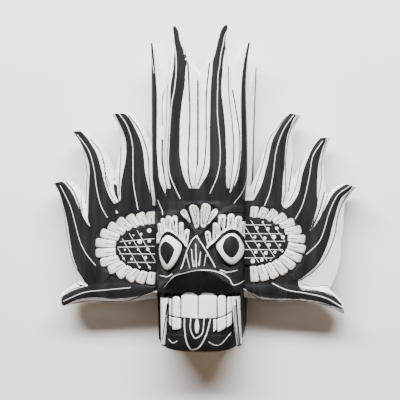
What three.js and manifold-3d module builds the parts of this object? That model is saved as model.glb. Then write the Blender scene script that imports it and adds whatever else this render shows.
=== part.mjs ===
// A fire-devil mask carved from a light wood: an upright face block, hollowed at the back,
// with a crown of six flames, and one flaming wing board fixed to each of its sides.
// Millimetres. The mask lies on its back: +X is the viewer's right, +Y the crown, +Z out of the face.
import * as THREE from 'three';
import { mergeVertices } from 'three/addons/utils/BufferGeometryUtils.js';
import Module from 'manifold-3d';

const wasm = await Module();
wasm.setup();

// Block
const BLOCK_HALF_WIDTH = 43;
const BLOCK_FLARE = 0.027;
const CHEEK = { y: -55, reach: 62, swell: 2.6 };
const SQUARENESS = 4;
const FACE_DEPTH = 53;
const CROWN_TOP_DEPTH = 46;
const CHIN_DEPTH = 44;
const CHIN_ROUNDING = 26;
const SIDE_WALL = 11;
const TOP_WALL = 7;
const CHIN_WALL = 14;
const RIM_HEIGHT = 5;
const HOLLOW_OVERRUN = 4;
const REAR_FOOT = -128;
const FRONT_FOOT_DROP = 20;
const FOOT_CURVE = 1.8;
const FOOT_HALF_WIDTH = 33;
const CROWN_FOOT = -12;
const CROWN_TOP = 148;

// Crown flames, as girths from the middle of the front at four even heights from foot to tip
const CROWN_RIDGE = 3.2;
const RIDGE_CROWNING = 0.7;
const RIDGE_FADE = 22;
const REAR_RIDGE = 1.2;
const CROWN_FLAMES = [
  { centre: [-74, -72, -72, -76], width: [10, 7, 6, 4], tip: 113.5, ridge: REAR_RIDGE },
  { centre: [-40, -42.5, -40.8, -42.8], width: [18, 10.5, 10.5, 3], tip: 134, ridge: CROWN_RIDGE },
  { centre: [-14.5, -20.5, -16.2, -19.2], width: [20, 10.6, 11, 4], tip: 147.6, ridge: CROWN_RIDGE },
  { centre: [12.7, 17.8, 16, 22.8], width: [25, 13.4, 8.8, 4.8], tip: 148.2, ridge: CROWN_RIDGE },
  { centre: [37.5, 42.5, 39.2, 44.8], width: [18, 8.5, 6, 2.5], tip: 133, ridge: CROWN_RIDGE },
  { centre: [74, 72, 72, 76], width: [10, 7, 6, 4], tip: 113.5, ridge: CROWN_RIDGE },
];

// Saw cuts between neighbouring flames: the height of the bottom, and how far up each side the
// white margin of the left and of the right flame reaches
const CROWN_CUTS = [
  { bottom: 84, left: 24, right: 30 },
  { bottom: 92.5, left: 41, right: 27 },
  { bottom: 99, left: 17, right: 17 },
  { bottom: 98, left: 32, right: 34 },
  { bottom: 84, left: 30, right: 24 },
];
const SAW_KERF = 0.8;
const CUT_BEVEL = 10;
const CUT_DEPTH = 12;
const CUT_OVERRUN = 6;
const CUT_INSIDE_SHARE = 0.75;
const CUT_ROWS = 14;

// Face
const EYES = [
  { x: -26, y: -57.5, across: 11, along: 17, rise: 6 },
  { x: 29.5, y: -54.5, across: 12.8, along: 15, rise: 6 },
];
const SOCKET_DEPTH = 2;
const SOCKET_WIDTH = 0.28;
const BROWS = [
  { x: -27, y: -34, across: 15, along: 12, rise: 3 },
  { x: 29, y: -31, across: 16, along: 12, rise: 3 },
  { x: 0, y: -20, across: 16, along: 13, rise: 2.5 },
];
const NOSE = { top: -40, bottom: -70, topHalf: 5, bottomHalf: 15, topRise: 2.5, bottomRise: 12, flank: 1.3 };
const SNOUT = { ridge: -72.5, droop: 0.0155, edge: -94.5, rise: 13, reach: 41, shoulder: 9, spread: 34 };
const MOUTH = { top: -94.5, bottom: -132, half: 31, depth: 3 };
const TOOTH_PROUD = 2.5;
const TOOTH_ROOT = 4;
const TOOTH_GAP = 0.9;
const TOOTH_CROWNING = 0.8;
const BITE_LINE = -115.5;
const UPPER_TOOTH_EDGES = [-27, -23.7, -15.3, 0.4, 17.6, 25.8, 31];
const LOWER_TEETH = [
  { from: -27, to: -23.9, bottom: -126 },
  { from: -23.9, to: -14.9, bottom: -127.2 },
  { from: 14, to: 17.6, bottom: -129 },
  { from: 17.6, to: 25.8, bottom: -128.5 },
  { from: 25.8, to: 31, bottom: -123.5 },
];
const TONGUE = { x: -0.2, half: 14.2, top: -115, bottom: -145.6, proud: 3.5, tip: 0.12, taper: 1.4 };
const FANGS = [
  { top: [-31, -99], bottom: [-33, -143], topWidth: 7.5, bottomWidth: 3.6 },
  { top: [34, -97], bottom: [36.3, -143], topWidth: 7, bottomWidth: 3.2 },
];
const FANG_PROUD = 2.5;

// Wings: boards held off the wall, with flames whose spines pass through foot, knee, neck and tip
const WING_BACK = 13;
const WING_EDGE = 29;
const WING_TOP = 35;
const WING_CROWNING = 0.8;
const PLATE_BORDER = 7.5;
const RING_RISE = 1.6;
const DISC_RISE = 2.4;
const JOINT_GAP = 0.3;
const WING_INSET = 12;
const FLAME_ROOT = 0.1;
const LEFT_WING = {
  side: -1,
  ring: { x: -40.7, y: -54.5, across: 57, along: 33.7 },
  disc: { x: -40.7, y: -54.5, across: 37.3, along: 21.5 },
  flames: [
    { spine: [[-95, -72], [-111.5, -43], [-119.5, -15], [-132, 6.6]], width: [24, 18, 13, 7], left: [12, 6, 4, 2], right: [6, 8, 7, 2], lean: 0.8 },
    { spine: [[-88, -27], [-94.8, 1], [-99.3, 28], [-112.2, 53.7]], width: [28, 15.5, 9.5, 7], left: [6, 6, 4, 2], right: [9, 9, 6, 1.5], lean: 0.8 },
    { spine: [[-58.5, -13], [-59.6, 17], [-61.5, 45], [-73.3, 69.8]], width: [31, 20.5, 13.5, 11], left: [8, 10, 6, 2], right: [9, 10, 6, 1.5], lean: 0.8 },
    { spine: [[-36, -91], [-73, -92.5], [-101, -94.5], [-130, -103.5]], width: [6, 13.5, 12, 7], left: [6, 6, 5, 2], right: [4, 4, 9, 3], lean: 0.4 },
  ],
  web: [[-60, 25], [-41, 44], [-30, 44], [-30, -20], [-60, -20]],
};
const RIGHT_WING = {
  side: 1,
  ring: { x: 45.7, y: -50.5, across: 50.9, along: 34.6 },
  disc: { x: 45.7, y: -48, across: 34.5, along: 21.8 },
  flames: [
    { spine: [[95, -72], [113.5, -42], [120.5, -17], [136.2, 3.2]], width: [24, 17, 13, 6], left: [12, 8, 7, 2], right: [18, 7, 4.5, 2], lean: 0.8 },
    { spine: [[92, -22], [98.7, 1], [103.7, 24], [114, 46.3]], width: [27, 15, 9.5, 4], left: [9, 9, 6, 2], right: [12, 8, 4, 1.5], lean: 0.8 },
    { spine: [[62, -12], [68.7, 18], [74, 46], [86.5, 67.8]], width: [27, 16, 11.5, 5], left: [8, 7, 6, 2.5], right: [9, 8, 4, 1.5], lean: 0.8 },
    { spine: [[36, -90], [75, -92], [103, -96], [131, -109.5]], width: [7, 12, 9, 3.5], left: [4, 7, 9, 2], right: [5, 5, 4, 1.5], lean: 0.8 },
  ],
  web: [[30, 2], [50, 2], [60, -4], [60, -20], [30, -20]],
};

const BLACK_PAINT = 0x2c2c31;
const WHITE_PAINT = 0xe4e4e6;

// Resolution of the carved surfaces
const FACE_ROWS = 38;
const CROWN_ROWS = 15;
const FACE_COLUMNS_END = -45;
const FLAME_ROWS = 13;
const RING_SEGMENTS = 28;
const SECTION_SAMPLES = 400;
const SEAM_TOLERANCE = 0.03;

const mix = (a, b, share) => a + (b - a) * share;
const clamp = (value) => Math.min(1, Math.max(0, value));

// A closed three.js geometry as a solid that can be joined and cut
function solid(geometry) {
  geometry.deleteAttribute('normal');
  geometry.deleteAttribute('uv');
  const merged = mergeVertices(geometry, 1e-5);
  return new wasm.Manifold(new wasm.Mesh({
    numProp: 3,
    vertProperties: new Float32Array(merged.attributes.position.array),
    triVerts: new Uint32Array(merged.index.array),
  }));
}

// A block of cells bent into shape: place takes the share across, along and from back to front
function carve(columns, rows, layers, place) {
  const geometry = new THREE.BoxGeometry(1, 1, 1, columns, rows, layers);
  const position = geometry.attributes.position;
  for (let i = 0; i < position.count; i += 1) {
    const corner = place(position.getX(i) + 0.5, position.getY(i) + 0.5, position.getZ(i) + 0.5);
    position.setXYZ(i, ...corner);
  }
  return solid(geometry);
}

// A smooth value through four even stops, at a share from the first to the last
function throughFour(stops, share) {
  const thirds = share * 3;
  const [a, b, c, d] = stops;
  return (a * (1 - thirds) * (2 - thirds) * (3 - thirds)) / 6
    + (b * thirds * (2 - thirds) * (3 - thirds)) / 2
    - (c * thirds * (1 - thirds) * (3 - thirds)) / 2
    + (d * thirds * (1 - thirds) * (2 - thirds)) / 6;
}

// A value run straight between four even stops
function betweenFour(stops, share) {
  const place = clamp(share) * 3;
  const stop = Math.min(2, Math.floor(place));
  return mix(stops[stop], stops[stop + 1], place - stop);
}

// The block's rounded section, walked by its girth from the middle of the front to the rim
const SECTION = [];
let sectionGirth = 0;
for (let i = 0; i <= SECTION_SAMPLES; i += 1) {
  const turn = (i / SECTION_SAMPLES) * (Math.PI / 2);
  const across = Math.sin(turn) ** (2 / SQUARENESS);
  const height = Math.max(0, Math.cos(turn)) ** (2 / SQUARENESS);
  const last = SECTION[i - 1];
  if (last) {
    sectionGirth += Math.hypot((across - last.across) * BLOCK_HALF_WIDTH, (height - last.height) * FACE_DEPTH);
  }
  SECTION.push({ girth: sectionGirth, across, height });
}
const RIM_GIRTH = SECTION.findLast((point) => point.height * FACE_DEPTH > RIM_HEIGHT).girth;

function sectionAt(girth) {
  const wanted = Math.min(Math.abs(girth), RIM_GIRTH);
  let high = SECTION.findIndex((point) => point.girth >= wanted);
  high = Math.max(1, high);
  const low = SECTION[high - 1];
  const next = SECTION[high];
  const share = (wanted - low.girth) / (next.girth - low.girth);
  return {
    across: Math.sign(girth) * mix(low.across, next.across, share),
    height: mix(low.height, next.height, share),
  };
}

// The block widens towards the crown and swells a little at the cheeks
function halfWidth(y) {
  const reach = (y - CHEEK.y) / CHEEK.reach;
  return BLOCK_HALF_WIDTH + BLOCK_FLARE * y + CHEEK.swell * clamp(1 - reach ** 2) ** 2;
}

const footHeight = (x, z) => REAR_FOOT - FRONT_FOOT_DROP * clamp(z / FACE_DEPTH) + FOOT_CURVE * (x / FOOT_HALF_WIDTH) ** 2;

// Depth of the block's front along its middle, before carving
function blockDepth(y) {
  const chin = clamp((y - (REAR_FOOT - FRONT_FOOT_DROP)) / CHIN_ROUNDING);
  const rounded = mix(CHIN_DEPTH, FACE_DEPTH, Math.sqrt(1 - (1 - chin) ** 2));
  return mix(rounded, CROWN_TOP_DEPTH, clamp((y - CROWN_FOOT) / (CROWN_TOP - CROWN_FOOT)));
}

// A point of the block's front at a girth and height, lifted off it along its own outward direction
function onBlock(girth, y, lift, inset = 0) {
  const width = halfWidth(y) - inset;
  const depth = blockDepth(y) - inset;
  const { across, height } = sectionAt(girth);
  const outX = Math.sign(across) * (Math.abs(across) ** (SQUARENESS - 1)) / width;
  const outZ = (height ** (SQUARENESS - 1)) / depth;
  const length = Math.hypot(outX, outZ);
  return [across * width + (lift * outX) / length, y, height * depth + (lift * outZ) / length];
}

// Height of the uncarved front over a point seen from the front
function frontHeight(x, y) {
  const share = clamp(Math.abs(x) / halfWidth(y));
  return blockDepth(y) * (1 - share ** SQUARENESS) ** (1 / SQUARENESS);
}

function dome(x, y, form) {
  const reach = Math.hypot((x - form.x) / form.across, (y - form.y) / form.along);
  return form.rise * Math.sqrt(Math.max(0, 1 - reach ** 2));
}

function eyeSocket(x, y, eye) {
  const reach = Math.hypot((x - eye.x) / eye.across, (y - eye.y) / eye.along);
  return -SOCKET_DEPTH * Math.max(0, 1 - Math.abs(reach - 1 - SOCKET_WIDTH / 2) / SOCKET_WIDTH);
}

function noseLift(x, y) {
  const share = clamp((y - NOSE.top) / (NOSE.bottom - NOSE.top));
  const half = mix(NOSE.topHalf, NOSE.bottomHalf, share);
  const rise = mix(NOSE.topRise, NOSE.bottomRise, share);
  return y < NOSE.bottom || y > NOSE.top + NOSE.topHalf ? 0 : rise * clamp(NOSE.flank * (1 - Math.abs(x) / half));
}

// The rows of the carving follow the arched ridge of the snout and straighten away from it
function ridgeDroop(x, y) {
  const nearness = clamp(1 - Math.abs(y - SNOUT.ridge) / SNOUT.spread);
  return SNOUT.droop * Math.min(x ** 2, SNOUT.reach ** 2) * nearness;
}

// The upper lip juts out along an arched ridge and falls back to the teeth below it
function snoutLift(x, y) {
  const ridge = SNOUT.ridge - SNOUT.droop * x ** 2;
  const side = Math.sqrt(clamp(1 - (x / SNOUT.reach) ** 2));
  if (y >= ridge) {
    return SNOUT.rise * side * clamp(1 - (y - ridge) / SNOUT.shoulder);
  }
  return SNOUT.rise * side * clamp((y - SNOUT.edge) / (ridge - SNOUT.edge));
}

function mouthLift(x, y) {
  const inside = y < MOUTH.top && y > MOUTH.bottom && Math.abs(x) < MOUTH.half;
  return inside ? -MOUTH.depth : 0;
}

function faceLift(x, y) {
  const bulges = [...EYES, ...BROWS].map((form) => dome(x, y, form));
  const sockets = EYES.map((eye) => eyeSocket(x, y, eye));
  return Math.max(noseLift(x, y), snoutLift(x, y), ...bulges) + Math.min(...sockets) + mouthLift(x, y);
}

// The columns of the crown: rim, then both edges and the middle of each flame and the valley after it
function crownColumns() {
  const columns = [{ girth: () => -RIM_GIRTH, lift: 0, tip: CROWN_FLAMES[0].tip, cells: 2 }];
  CROWN_FLAMES.forEach((flame, i) => {
    for (const side of [-0.5, 0, 0.5]) {
      columns.push({
        girth: (y) => flameGirth(flame, y, side),
        lift: flame.ridge + (side ? 0 : RIDGE_CROWNING),
        tip: flame.tip,
        cells: side === 0.5 ? 2 : 1,
      });
    }
    const next = CROWN_FLAMES[i + 1];
    if (next) {
      const tip = Math.max(flame.tip, next.tip);
      columns.push({ girth: (y) => valleyGirth(flame, next, y), lift: 0, tip, cells: 2 });
    }
  });
  columns.push({ girth: () => RIM_GIRTH, lift: 0, tip: CROWN_FLAMES.at(-1).tip, cells: 0 });
  return columns;
}

function flameGirth(flame, y, side) {
  const share = clamp((y - CROWN_FOOT) / (flame.tip - CROWN_FOOT));
  return throughFour(flame.centre, share) + side * betweenFour(flame.width, share);
}

function valleyGirth(left, right, y) {
  return (flameGirth(left, y, 0.5) + flameGirth(right, y, -0.5)) / 2;
}

const COLUMNS = crownColumns();
const BLOCK_CELLS = COLUMNS.reduce((sum, column) => sum + column.cells, 0);

// The crown's girth, relief and tip height at a share of the way across its columns
function crownAcross(u, y) {
  let cell = u * BLOCK_CELLS;
  let i = 0;
  while (i < COLUMNS.length - 2 && cell > COLUMNS[i].cells) {
    cell -= COLUMNS[i].cells;
    i += 1;
  }
  const share = cell / COLUMNS[i].cells;
  const [here, next] = [COLUMNS[i], COLUMNS[i + 1]];
  return {
    girth: mix(here.girth(y), next.girth(y), share),
    lift: mix(here.lift, next.lift, share),
    tip: mix(here.tip, next.tip, share),
  };
}

// The whole block before it is hollowed, grown by a clearance
function blockBody(clearance) {
  return carve(BLOCK_CELLS, FACE_ROWS + CROWN_ROWS, 1, (u, v, w) => {
    const row = v * (FACE_ROWS + CROWN_ROWS);
    const { tip } = crownAcross(u, CROWN_FOOT);
    const even = mix(-RIM_GIRTH, RIM_GIRTH, u);
    const depth = w * onBlock(even, REAR_FOOT, 0)[2];
    const foot = footHeight(onBlock(even, REAR_FOOT, 0)[0], depth) - clearance;
    const level = row < FACE_ROWS
      ? mix(foot, CROWN_FOOT, row / FACE_ROWS)
      : mix(CROWN_FOOT, tip, (row - FACE_ROWS) / CROWN_ROWS);
    const y = level - ridgeDroop(onBlock(even, level, 0)[0], level);
    const crown = crownAcross(u, y);
    const girth = mix(even, crown.girth, clamp((y - FACE_COLUMNS_END) / (CROWN_FOOT - FACE_COLUMNS_END)));
    if (w === 0) {
      const [rim] = onBlock(RIM_GIRTH, y, clearance);
      return [mix(-rim, rim, u), y, -clearance];
    }
    const [x, , z] = onBlock(girth, y, crown.lift * clamp((y - CROWN_FOOT) / RIDGE_FADE) + clearance);
    return [x, y, z + (y < CROWN_FOOT ? faceLift(x, y) : 0)];
  });
}

// A saw cut between two flames, wider at the front than inside, so that its faces are bevelled
function crownCut(left, right, cut) {
  const top = Math.max(left.tip, right.tip) + HOLLOW_OVERRUN;
  const middle = valleyGirth(left, right, cut.bottom);
  return carve(4, CUT_ROWS, 2, (u, v, w) => {
    const bottom = cut.bottom + CUT_BEVEL * (1 - w);
    const y = mix(bottom, top, v);
    const leftShare = clamp(1 - (y - bottom) / cut.left);
    const rightShare = clamp(1 - (y - bottom) / cut.right);
    const from = mix(flameGirth(left, y, 0.5), middle - SAW_KERF / 2, leftShare);
    const to = mix(flameGirth(right, y, -0.5), middle + SAW_KERF / 2, rightShare);
    const inside = mix(mix(CUT_INSIDE_SHARE, 1, v), 1, w);
    const girth = mix(mix((from + to) / 2, from, inside), mix((from + to) / 2, to, inside), u);
    return onBlock(girth, y, mix(-CUT_DEPTH, CUT_OVERRUN, w));
  });
}

// The hollow at the back of the block, open behind and at the top
function hollow() {
  const floor = REAR_FOOT + CHIN_WALL;
  const ceiling = Math.max(...CROWN_FLAMES.map((flame) => flame.tip)) + HOLLOW_OVERRUN;
  return carve(20, 8, 1, (u, v, w) => {
    const y = mix(floor, ceiling, v);
    const wall = mix(SIDE_WALL, TOP_WALL, v);
    const [x, , z] = onBlock(mix(-RIM_GIRTH, RIM_GIRTH, u), y, 0, wall);
    const [rim] = onBlock(RIM_GIRTH, y, 0, wall);
    return w === 0 ? [mix(-rim, rim, u), y, -HOLLOW_OVERRUN] : [x, y, z];
  });
}

function tooth(from, to, bottom, top) {
  return carve(2, 2, 1, (u, v, w) => {
    const x = mix(from + TOOTH_GAP / 2, to - TOOTH_GAP / 2, u);
    const y = mix(bottom, top, v);
    const crowned = TOOTH_PROUD - (u === 0.5 ? 0 : TOOTH_CROWNING);
    return [x, y, frontHeight(x, y) - MOUTH.depth + mix(-TOOTH_ROOT, crowned, w)];
  });
}

function teeth() {
  const row = [];
  for (let i = 0; i + 1 < UPPER_TOOTH_EDGES.length; i += 1) {
    row.push(tooth(UPPER_TOOTH_EDGES[i], UPPER_TOOTH_EDGES[i + 1], BITE_LINE, SNOUT.edge + 2));
  }
  for (const { from, to, bottom } of LOWER_TEETH) {
    row.push(tooth(from, to, bottom, BITE_LINE - TOOTH_GAP));
  }
  return row;
}

function tongue() {
  return carve(4, 8, 1, (u, v, w) => {
    const half = TONGUE.half * Math.sqrt(1 - (1 - clamp(TONGUE.tip + v * TONGUE.taper)) ** 2);
    const x = TONGUE.x + mix(-half, half, u);
    const y = mix(TONGUE.bottom, TONGUE.top, v);
    const proud = TONGUE.proud * (1 - (2 * u - 1) ** 2) - MOUTH.depth;
    return [x, y, frontHeight(x, y) + mix(-TOOTH_ROOT - MOUTH.depth, proud, w)];
  });
}

function fang({ top, bottom, topWidth, bottomWidth }) {
  return carve(2, 8, 1, (u, v, w) => {
    const width = mix(bottomWidth, topWidth, v);
    const x = mix(bottom[0], top[0], v) + mix(-width / 2, width / 2, u);
    const y = mix(bottom[1], top[1], v);
    return [x, y, frontHeight(x, y) + mix(-TOOTH_ROOT, FANG_PROUD, w)];
  });
}

// One flame of a wing: a flat ridge between two bevelled margins, swept along its spine to a tip
// whose outer corner reaches furthest
function wingFlame({ spine, width, left, right, lean }, side) {
  const along = (share) => [0, 1].map((axis) => throughFour(spine.map((point) => point[axis]), share));
  return carve(4, FLAME_ROWS, 1, (u, run, w) => {
    const v = mix(-FLAME_ROOT, 1, run);
    const here = along(v);
    const ahead = along(v + 0.01);
    const behind = along(v - 0.01);
    const heading = Math.atan2(ahead[1] - behind[1], ahead[0] - behind[0]);
    const half = betweenFour(width, v) / 2;
    const stops = [-half - betweenFour(left, v), -half, 0, half, half + betweenFour(right, v)];
    const offset = stops[Math.round(u * 4)];
    const forward = side * offset * lean * clamp(3 * v - 2) ** 2;
    const front = Math.abs(2 * u - 1) > 0.9 ? WING_EDGE : WING_TOP + (u === 0.5 ? WING_CROWNING : 0);
    return [
      here[0] + offset * Math.sin(heading) + forward * Math.cos(heading),
      here[1] - offset * Math.cos(heading) + forward * Math.sin(heading),
      mix(WING_BACK, front, w),
    ];
  });
}

// A flat board of a given outline
function board(points, front) {
  const outline = new THREE.Shape(points.map(([x, y]) => new THREE.Vector2(x, y)));
  const geometry = new THREE.ExtrudeGeometry(outline, { depth: front - WING_BACK, bevelEnabled: false });
  geometry.translate(0, 0, WING_BACK);
  return solid(geometry);
}

function oval({ x, y, across, along }, border) {
  const points = [];
  for (let i = 0; i < RING_SEGMENTS; i += 1) {
    const turn = (i / RING_SEGMENTS) * 2 * Math.PI;
    points.push([x + (across + border) * Math.cos(turn), y + (along + border) * Math.sin(turn)]);
  }
  return points;
}

function wing({ side, ring, disc, flames, web }, block) {
  const parts = [
    board(oval(ring, PLATE_BORDER), WING_TOP),
    board(oval(ring, 0), WING_TOP + RING_RISE),
    board(oval(disc, 0), WING_TOP + DISC_RISE),
    board(web, WING_EDGE),
    ...flames.map((flame) => wingFlame(flame, side)),
  ];
  const inner = BLOCK_HALF_WIDTH - WING_INSET;
  const reach = 4 * BLOCK_HALF_WIDTH;
  const keep = board([[side * inner, -reach], [side * reach, -reach], [side * reach, reach], [side * inner, reach]],
    2 * WING_TOP);
  return parts.reduce((whole, part) => whole.add(part)).intersect(keep).subtract(block);
}

function faceBlockSolid() {
  const cuts = CROWN_CUTS.map((cut, i) => crownCut(CROWN_FLAMES[i], CROWN_FLAMES[i + 1], cut));
  const whole = [...teeth(), tongue(), ...FANGS.map(fang)]
    .reduce((joined, part) => joined.add(part), blockBody(0));
  return [hollow(), ...cuts].reduce((left, cut) => left.subtract(cut), whole);
}

// The mask lies on its back with the middle of its outline over the origin
function lieCentred(group) {
  const outline = new THREE.Box3().setFromObject(group);
  const middle = outline.getCenter(new THREE.Vector3());
  group.position.set(-middle.x, -middle.y, -outline.min.z);
}

function mesh(name, body, colour) {
  const { vertProperties, triVerts } = body.simplify(SEAM_TOLERANCE).getMesh();
  const geometry = new THREE.BufferGeometry();
  geometry.setAttribute('position', new THREE.BufferAttribute(vertProperties, 3));
  geometry.setIndex(new THREE.BufferAttribute(triVerts, 1));
  geometry.computeVertexNormals();
  const material = new THREE.MeshStandardMaterial({ color: colour, roughness: 0.62, metalness: 0 });
  const piece = new THREE.Mesh(geometry, material);
  piece.name = name;
  return piece;
}

const blockAndGap = blockBody(JOINT_GAP);
const mask = new THREE.Group();
mask.add(mesh('face_block', faceBlockSolid(), BLACK_PAINT));
mask.add(mesh('left_wing', wing(LEFT_WING, blockAndGap), WHITE_PAINT));
mask.add(mesh('right_wing', wing(RIGHT_WING, blockAndGap), WHITE_PAINT));
lieCentred(mask);

export default mask;
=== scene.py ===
import math
from functools import partial

import bmesh
import bpy
import numpy as np
from mathutils import Matrix, Vector


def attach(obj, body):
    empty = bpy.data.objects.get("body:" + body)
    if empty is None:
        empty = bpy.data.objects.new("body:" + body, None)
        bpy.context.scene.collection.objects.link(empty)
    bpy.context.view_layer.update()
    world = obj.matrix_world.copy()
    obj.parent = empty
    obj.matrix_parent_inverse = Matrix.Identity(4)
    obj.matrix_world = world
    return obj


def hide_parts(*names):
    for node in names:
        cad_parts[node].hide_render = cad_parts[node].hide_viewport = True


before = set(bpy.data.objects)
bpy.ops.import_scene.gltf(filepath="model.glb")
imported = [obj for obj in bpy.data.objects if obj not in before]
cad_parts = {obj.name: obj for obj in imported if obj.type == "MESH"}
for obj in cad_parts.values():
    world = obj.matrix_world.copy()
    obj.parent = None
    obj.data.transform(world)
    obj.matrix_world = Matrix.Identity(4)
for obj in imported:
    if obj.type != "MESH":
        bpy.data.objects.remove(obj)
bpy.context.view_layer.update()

MIDDLE = (1.6864, 0.14584)
MILLIMETRE = 0.001

# Block
HALF_WIDTH = 43
FLARE = 0.027
CHEEK = dict(y=-55, reach=62, swell=2.6)
SQUARENESS = 4
FACE_DEPTH = 53
CROWN_TOP_DEPTH = 46
CHIN_DEPTH = 44
CHIN_ROUNDING = 26
SIDE_WALL = 11
TOP_WALL = 7
CHIN_WALL = 14
RIM_HEIGHT = 5
REAR_FOOT = -128
FRONT_FOOT_DROP = 20
FOOT_CURVE = 1.8
FOOT_HALF = 33
CROWN_FOOT = -12
CROWN_TOP = 148
OVERRUN = 4

# Crown flames: girths from the middle of the front at four even heights, widths of the flat ridge
RIDGE = 3.2
RIDGE_CROWNING = 0.7
RIDGE_FADE = 22
REAR_RIDGE = 1.2
CROWN_FLAMES = [
    dict(centre=(-74, -72, -72, -76), width=(10, 7, 6, 4), tip=113.5, ridge=REAR_RIDGE),
    dict(centre=(-40, -42.5, -40.8, -42.8), width=(18, 10.5, 10.5, 3), tip=134, ridge=RIDGE),
    dict(centre=(-14.5, -20.5, -16.2, -19.2), width=(20, 10.6, 11, 4), tip=147.6, ridge=RIDGE),
    dict(centre=(12.7, 17.8, 16, 22.8), width=(25, 13.4, 8.8, 4.8), tip=148.2, ridge=RIDGE),
    dict(centre=(37.5, 42.5, 39.2, 44.8), width=(18, 8.5, 6, 2.5), tip=133, ridge=RIDGE),
    dict(centre=(74, 72, 72, 76), width=(10, 7, 6, 4), tip=113.5, ridge=RIDGE),
]
CROWN_CUTS = [
    dict(bottom=84, left=24, right=30),
    dict(bottom=92.5, left=41, right=27),
    dict(bottom=99, left=17, right=17),
    dict(bottom=98, left=32, right=34),
    dict(bottom=84, left=30, right=24),
]
KERF = 0.8
CUT_BEVEL = 10
CUT_DEPTH = 12
CUT_OVERRUN = 6
CUT_INSIDE_SHARE = 0.75

# Face
EYES = [
    dict(x=-26, y=-57.5, across=11, along=17, rise=6),
    dict(x=29.5, y=-54.5, across=12.8, along=15, rise=6),
]
BROWS = [
    dict(x=-27, y=-34, across=15, along=12, rise=3),
    dict(x=29, y=-31, across=16, along=12, rise=3),
    dict(x=0, y=-20, across=16, along=13, rise=2.5),
]
SNOUT = dict(ridge=-72.5, droop=0.0155, edge=-94.5, rise=13, reach=41, shoulder=9, spread=34)
MOUTH = dict(top=-94.5, bottom=-132, half=31, depth=3)
BITE = ((-28, -114.2), (-16, -116.0), (1, -116.6), (17, -116.3), (24, -114.0), (31, -110.0))
TOOTH_GAP = 0.9
TOOTH_ROOT = 4
MOUTH_ROOF = -90
FRONT_HEIGHT = 20
UPPER_TEETH = [(-27, -23.7, -99.5), (-23.7, -15.3, -97.2), (-15.3, 0.4, -93.6), (0.4, 17.6, -93.6),
               (17.6, 25.8, -95.6), (25.8, 31, -97)]
LOWER_TEETH = [(-27, -23.9, -121.5, -125), (-23.9, -14.9, -127.6, -126.4), (13.6, 17.4, -130, -126),
               (17.4, 25.8, -129.5, -125), (25.8, 31, -125.5, -121.5)]
TONGUE = dict(x=-0.2, half=14.2, top=-115, bottom=-145.6, proud=3.5, tip=0.12, taper=1.4)
FANGS = [
    dict(top=(-31, -99), bottom=(-33, -143), top_width=7.5, bottom_width=3.6),
    dict(top=(34, -97), bottom=(36.3, -143), top_width=7, bottom_width=3.2),
]

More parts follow.
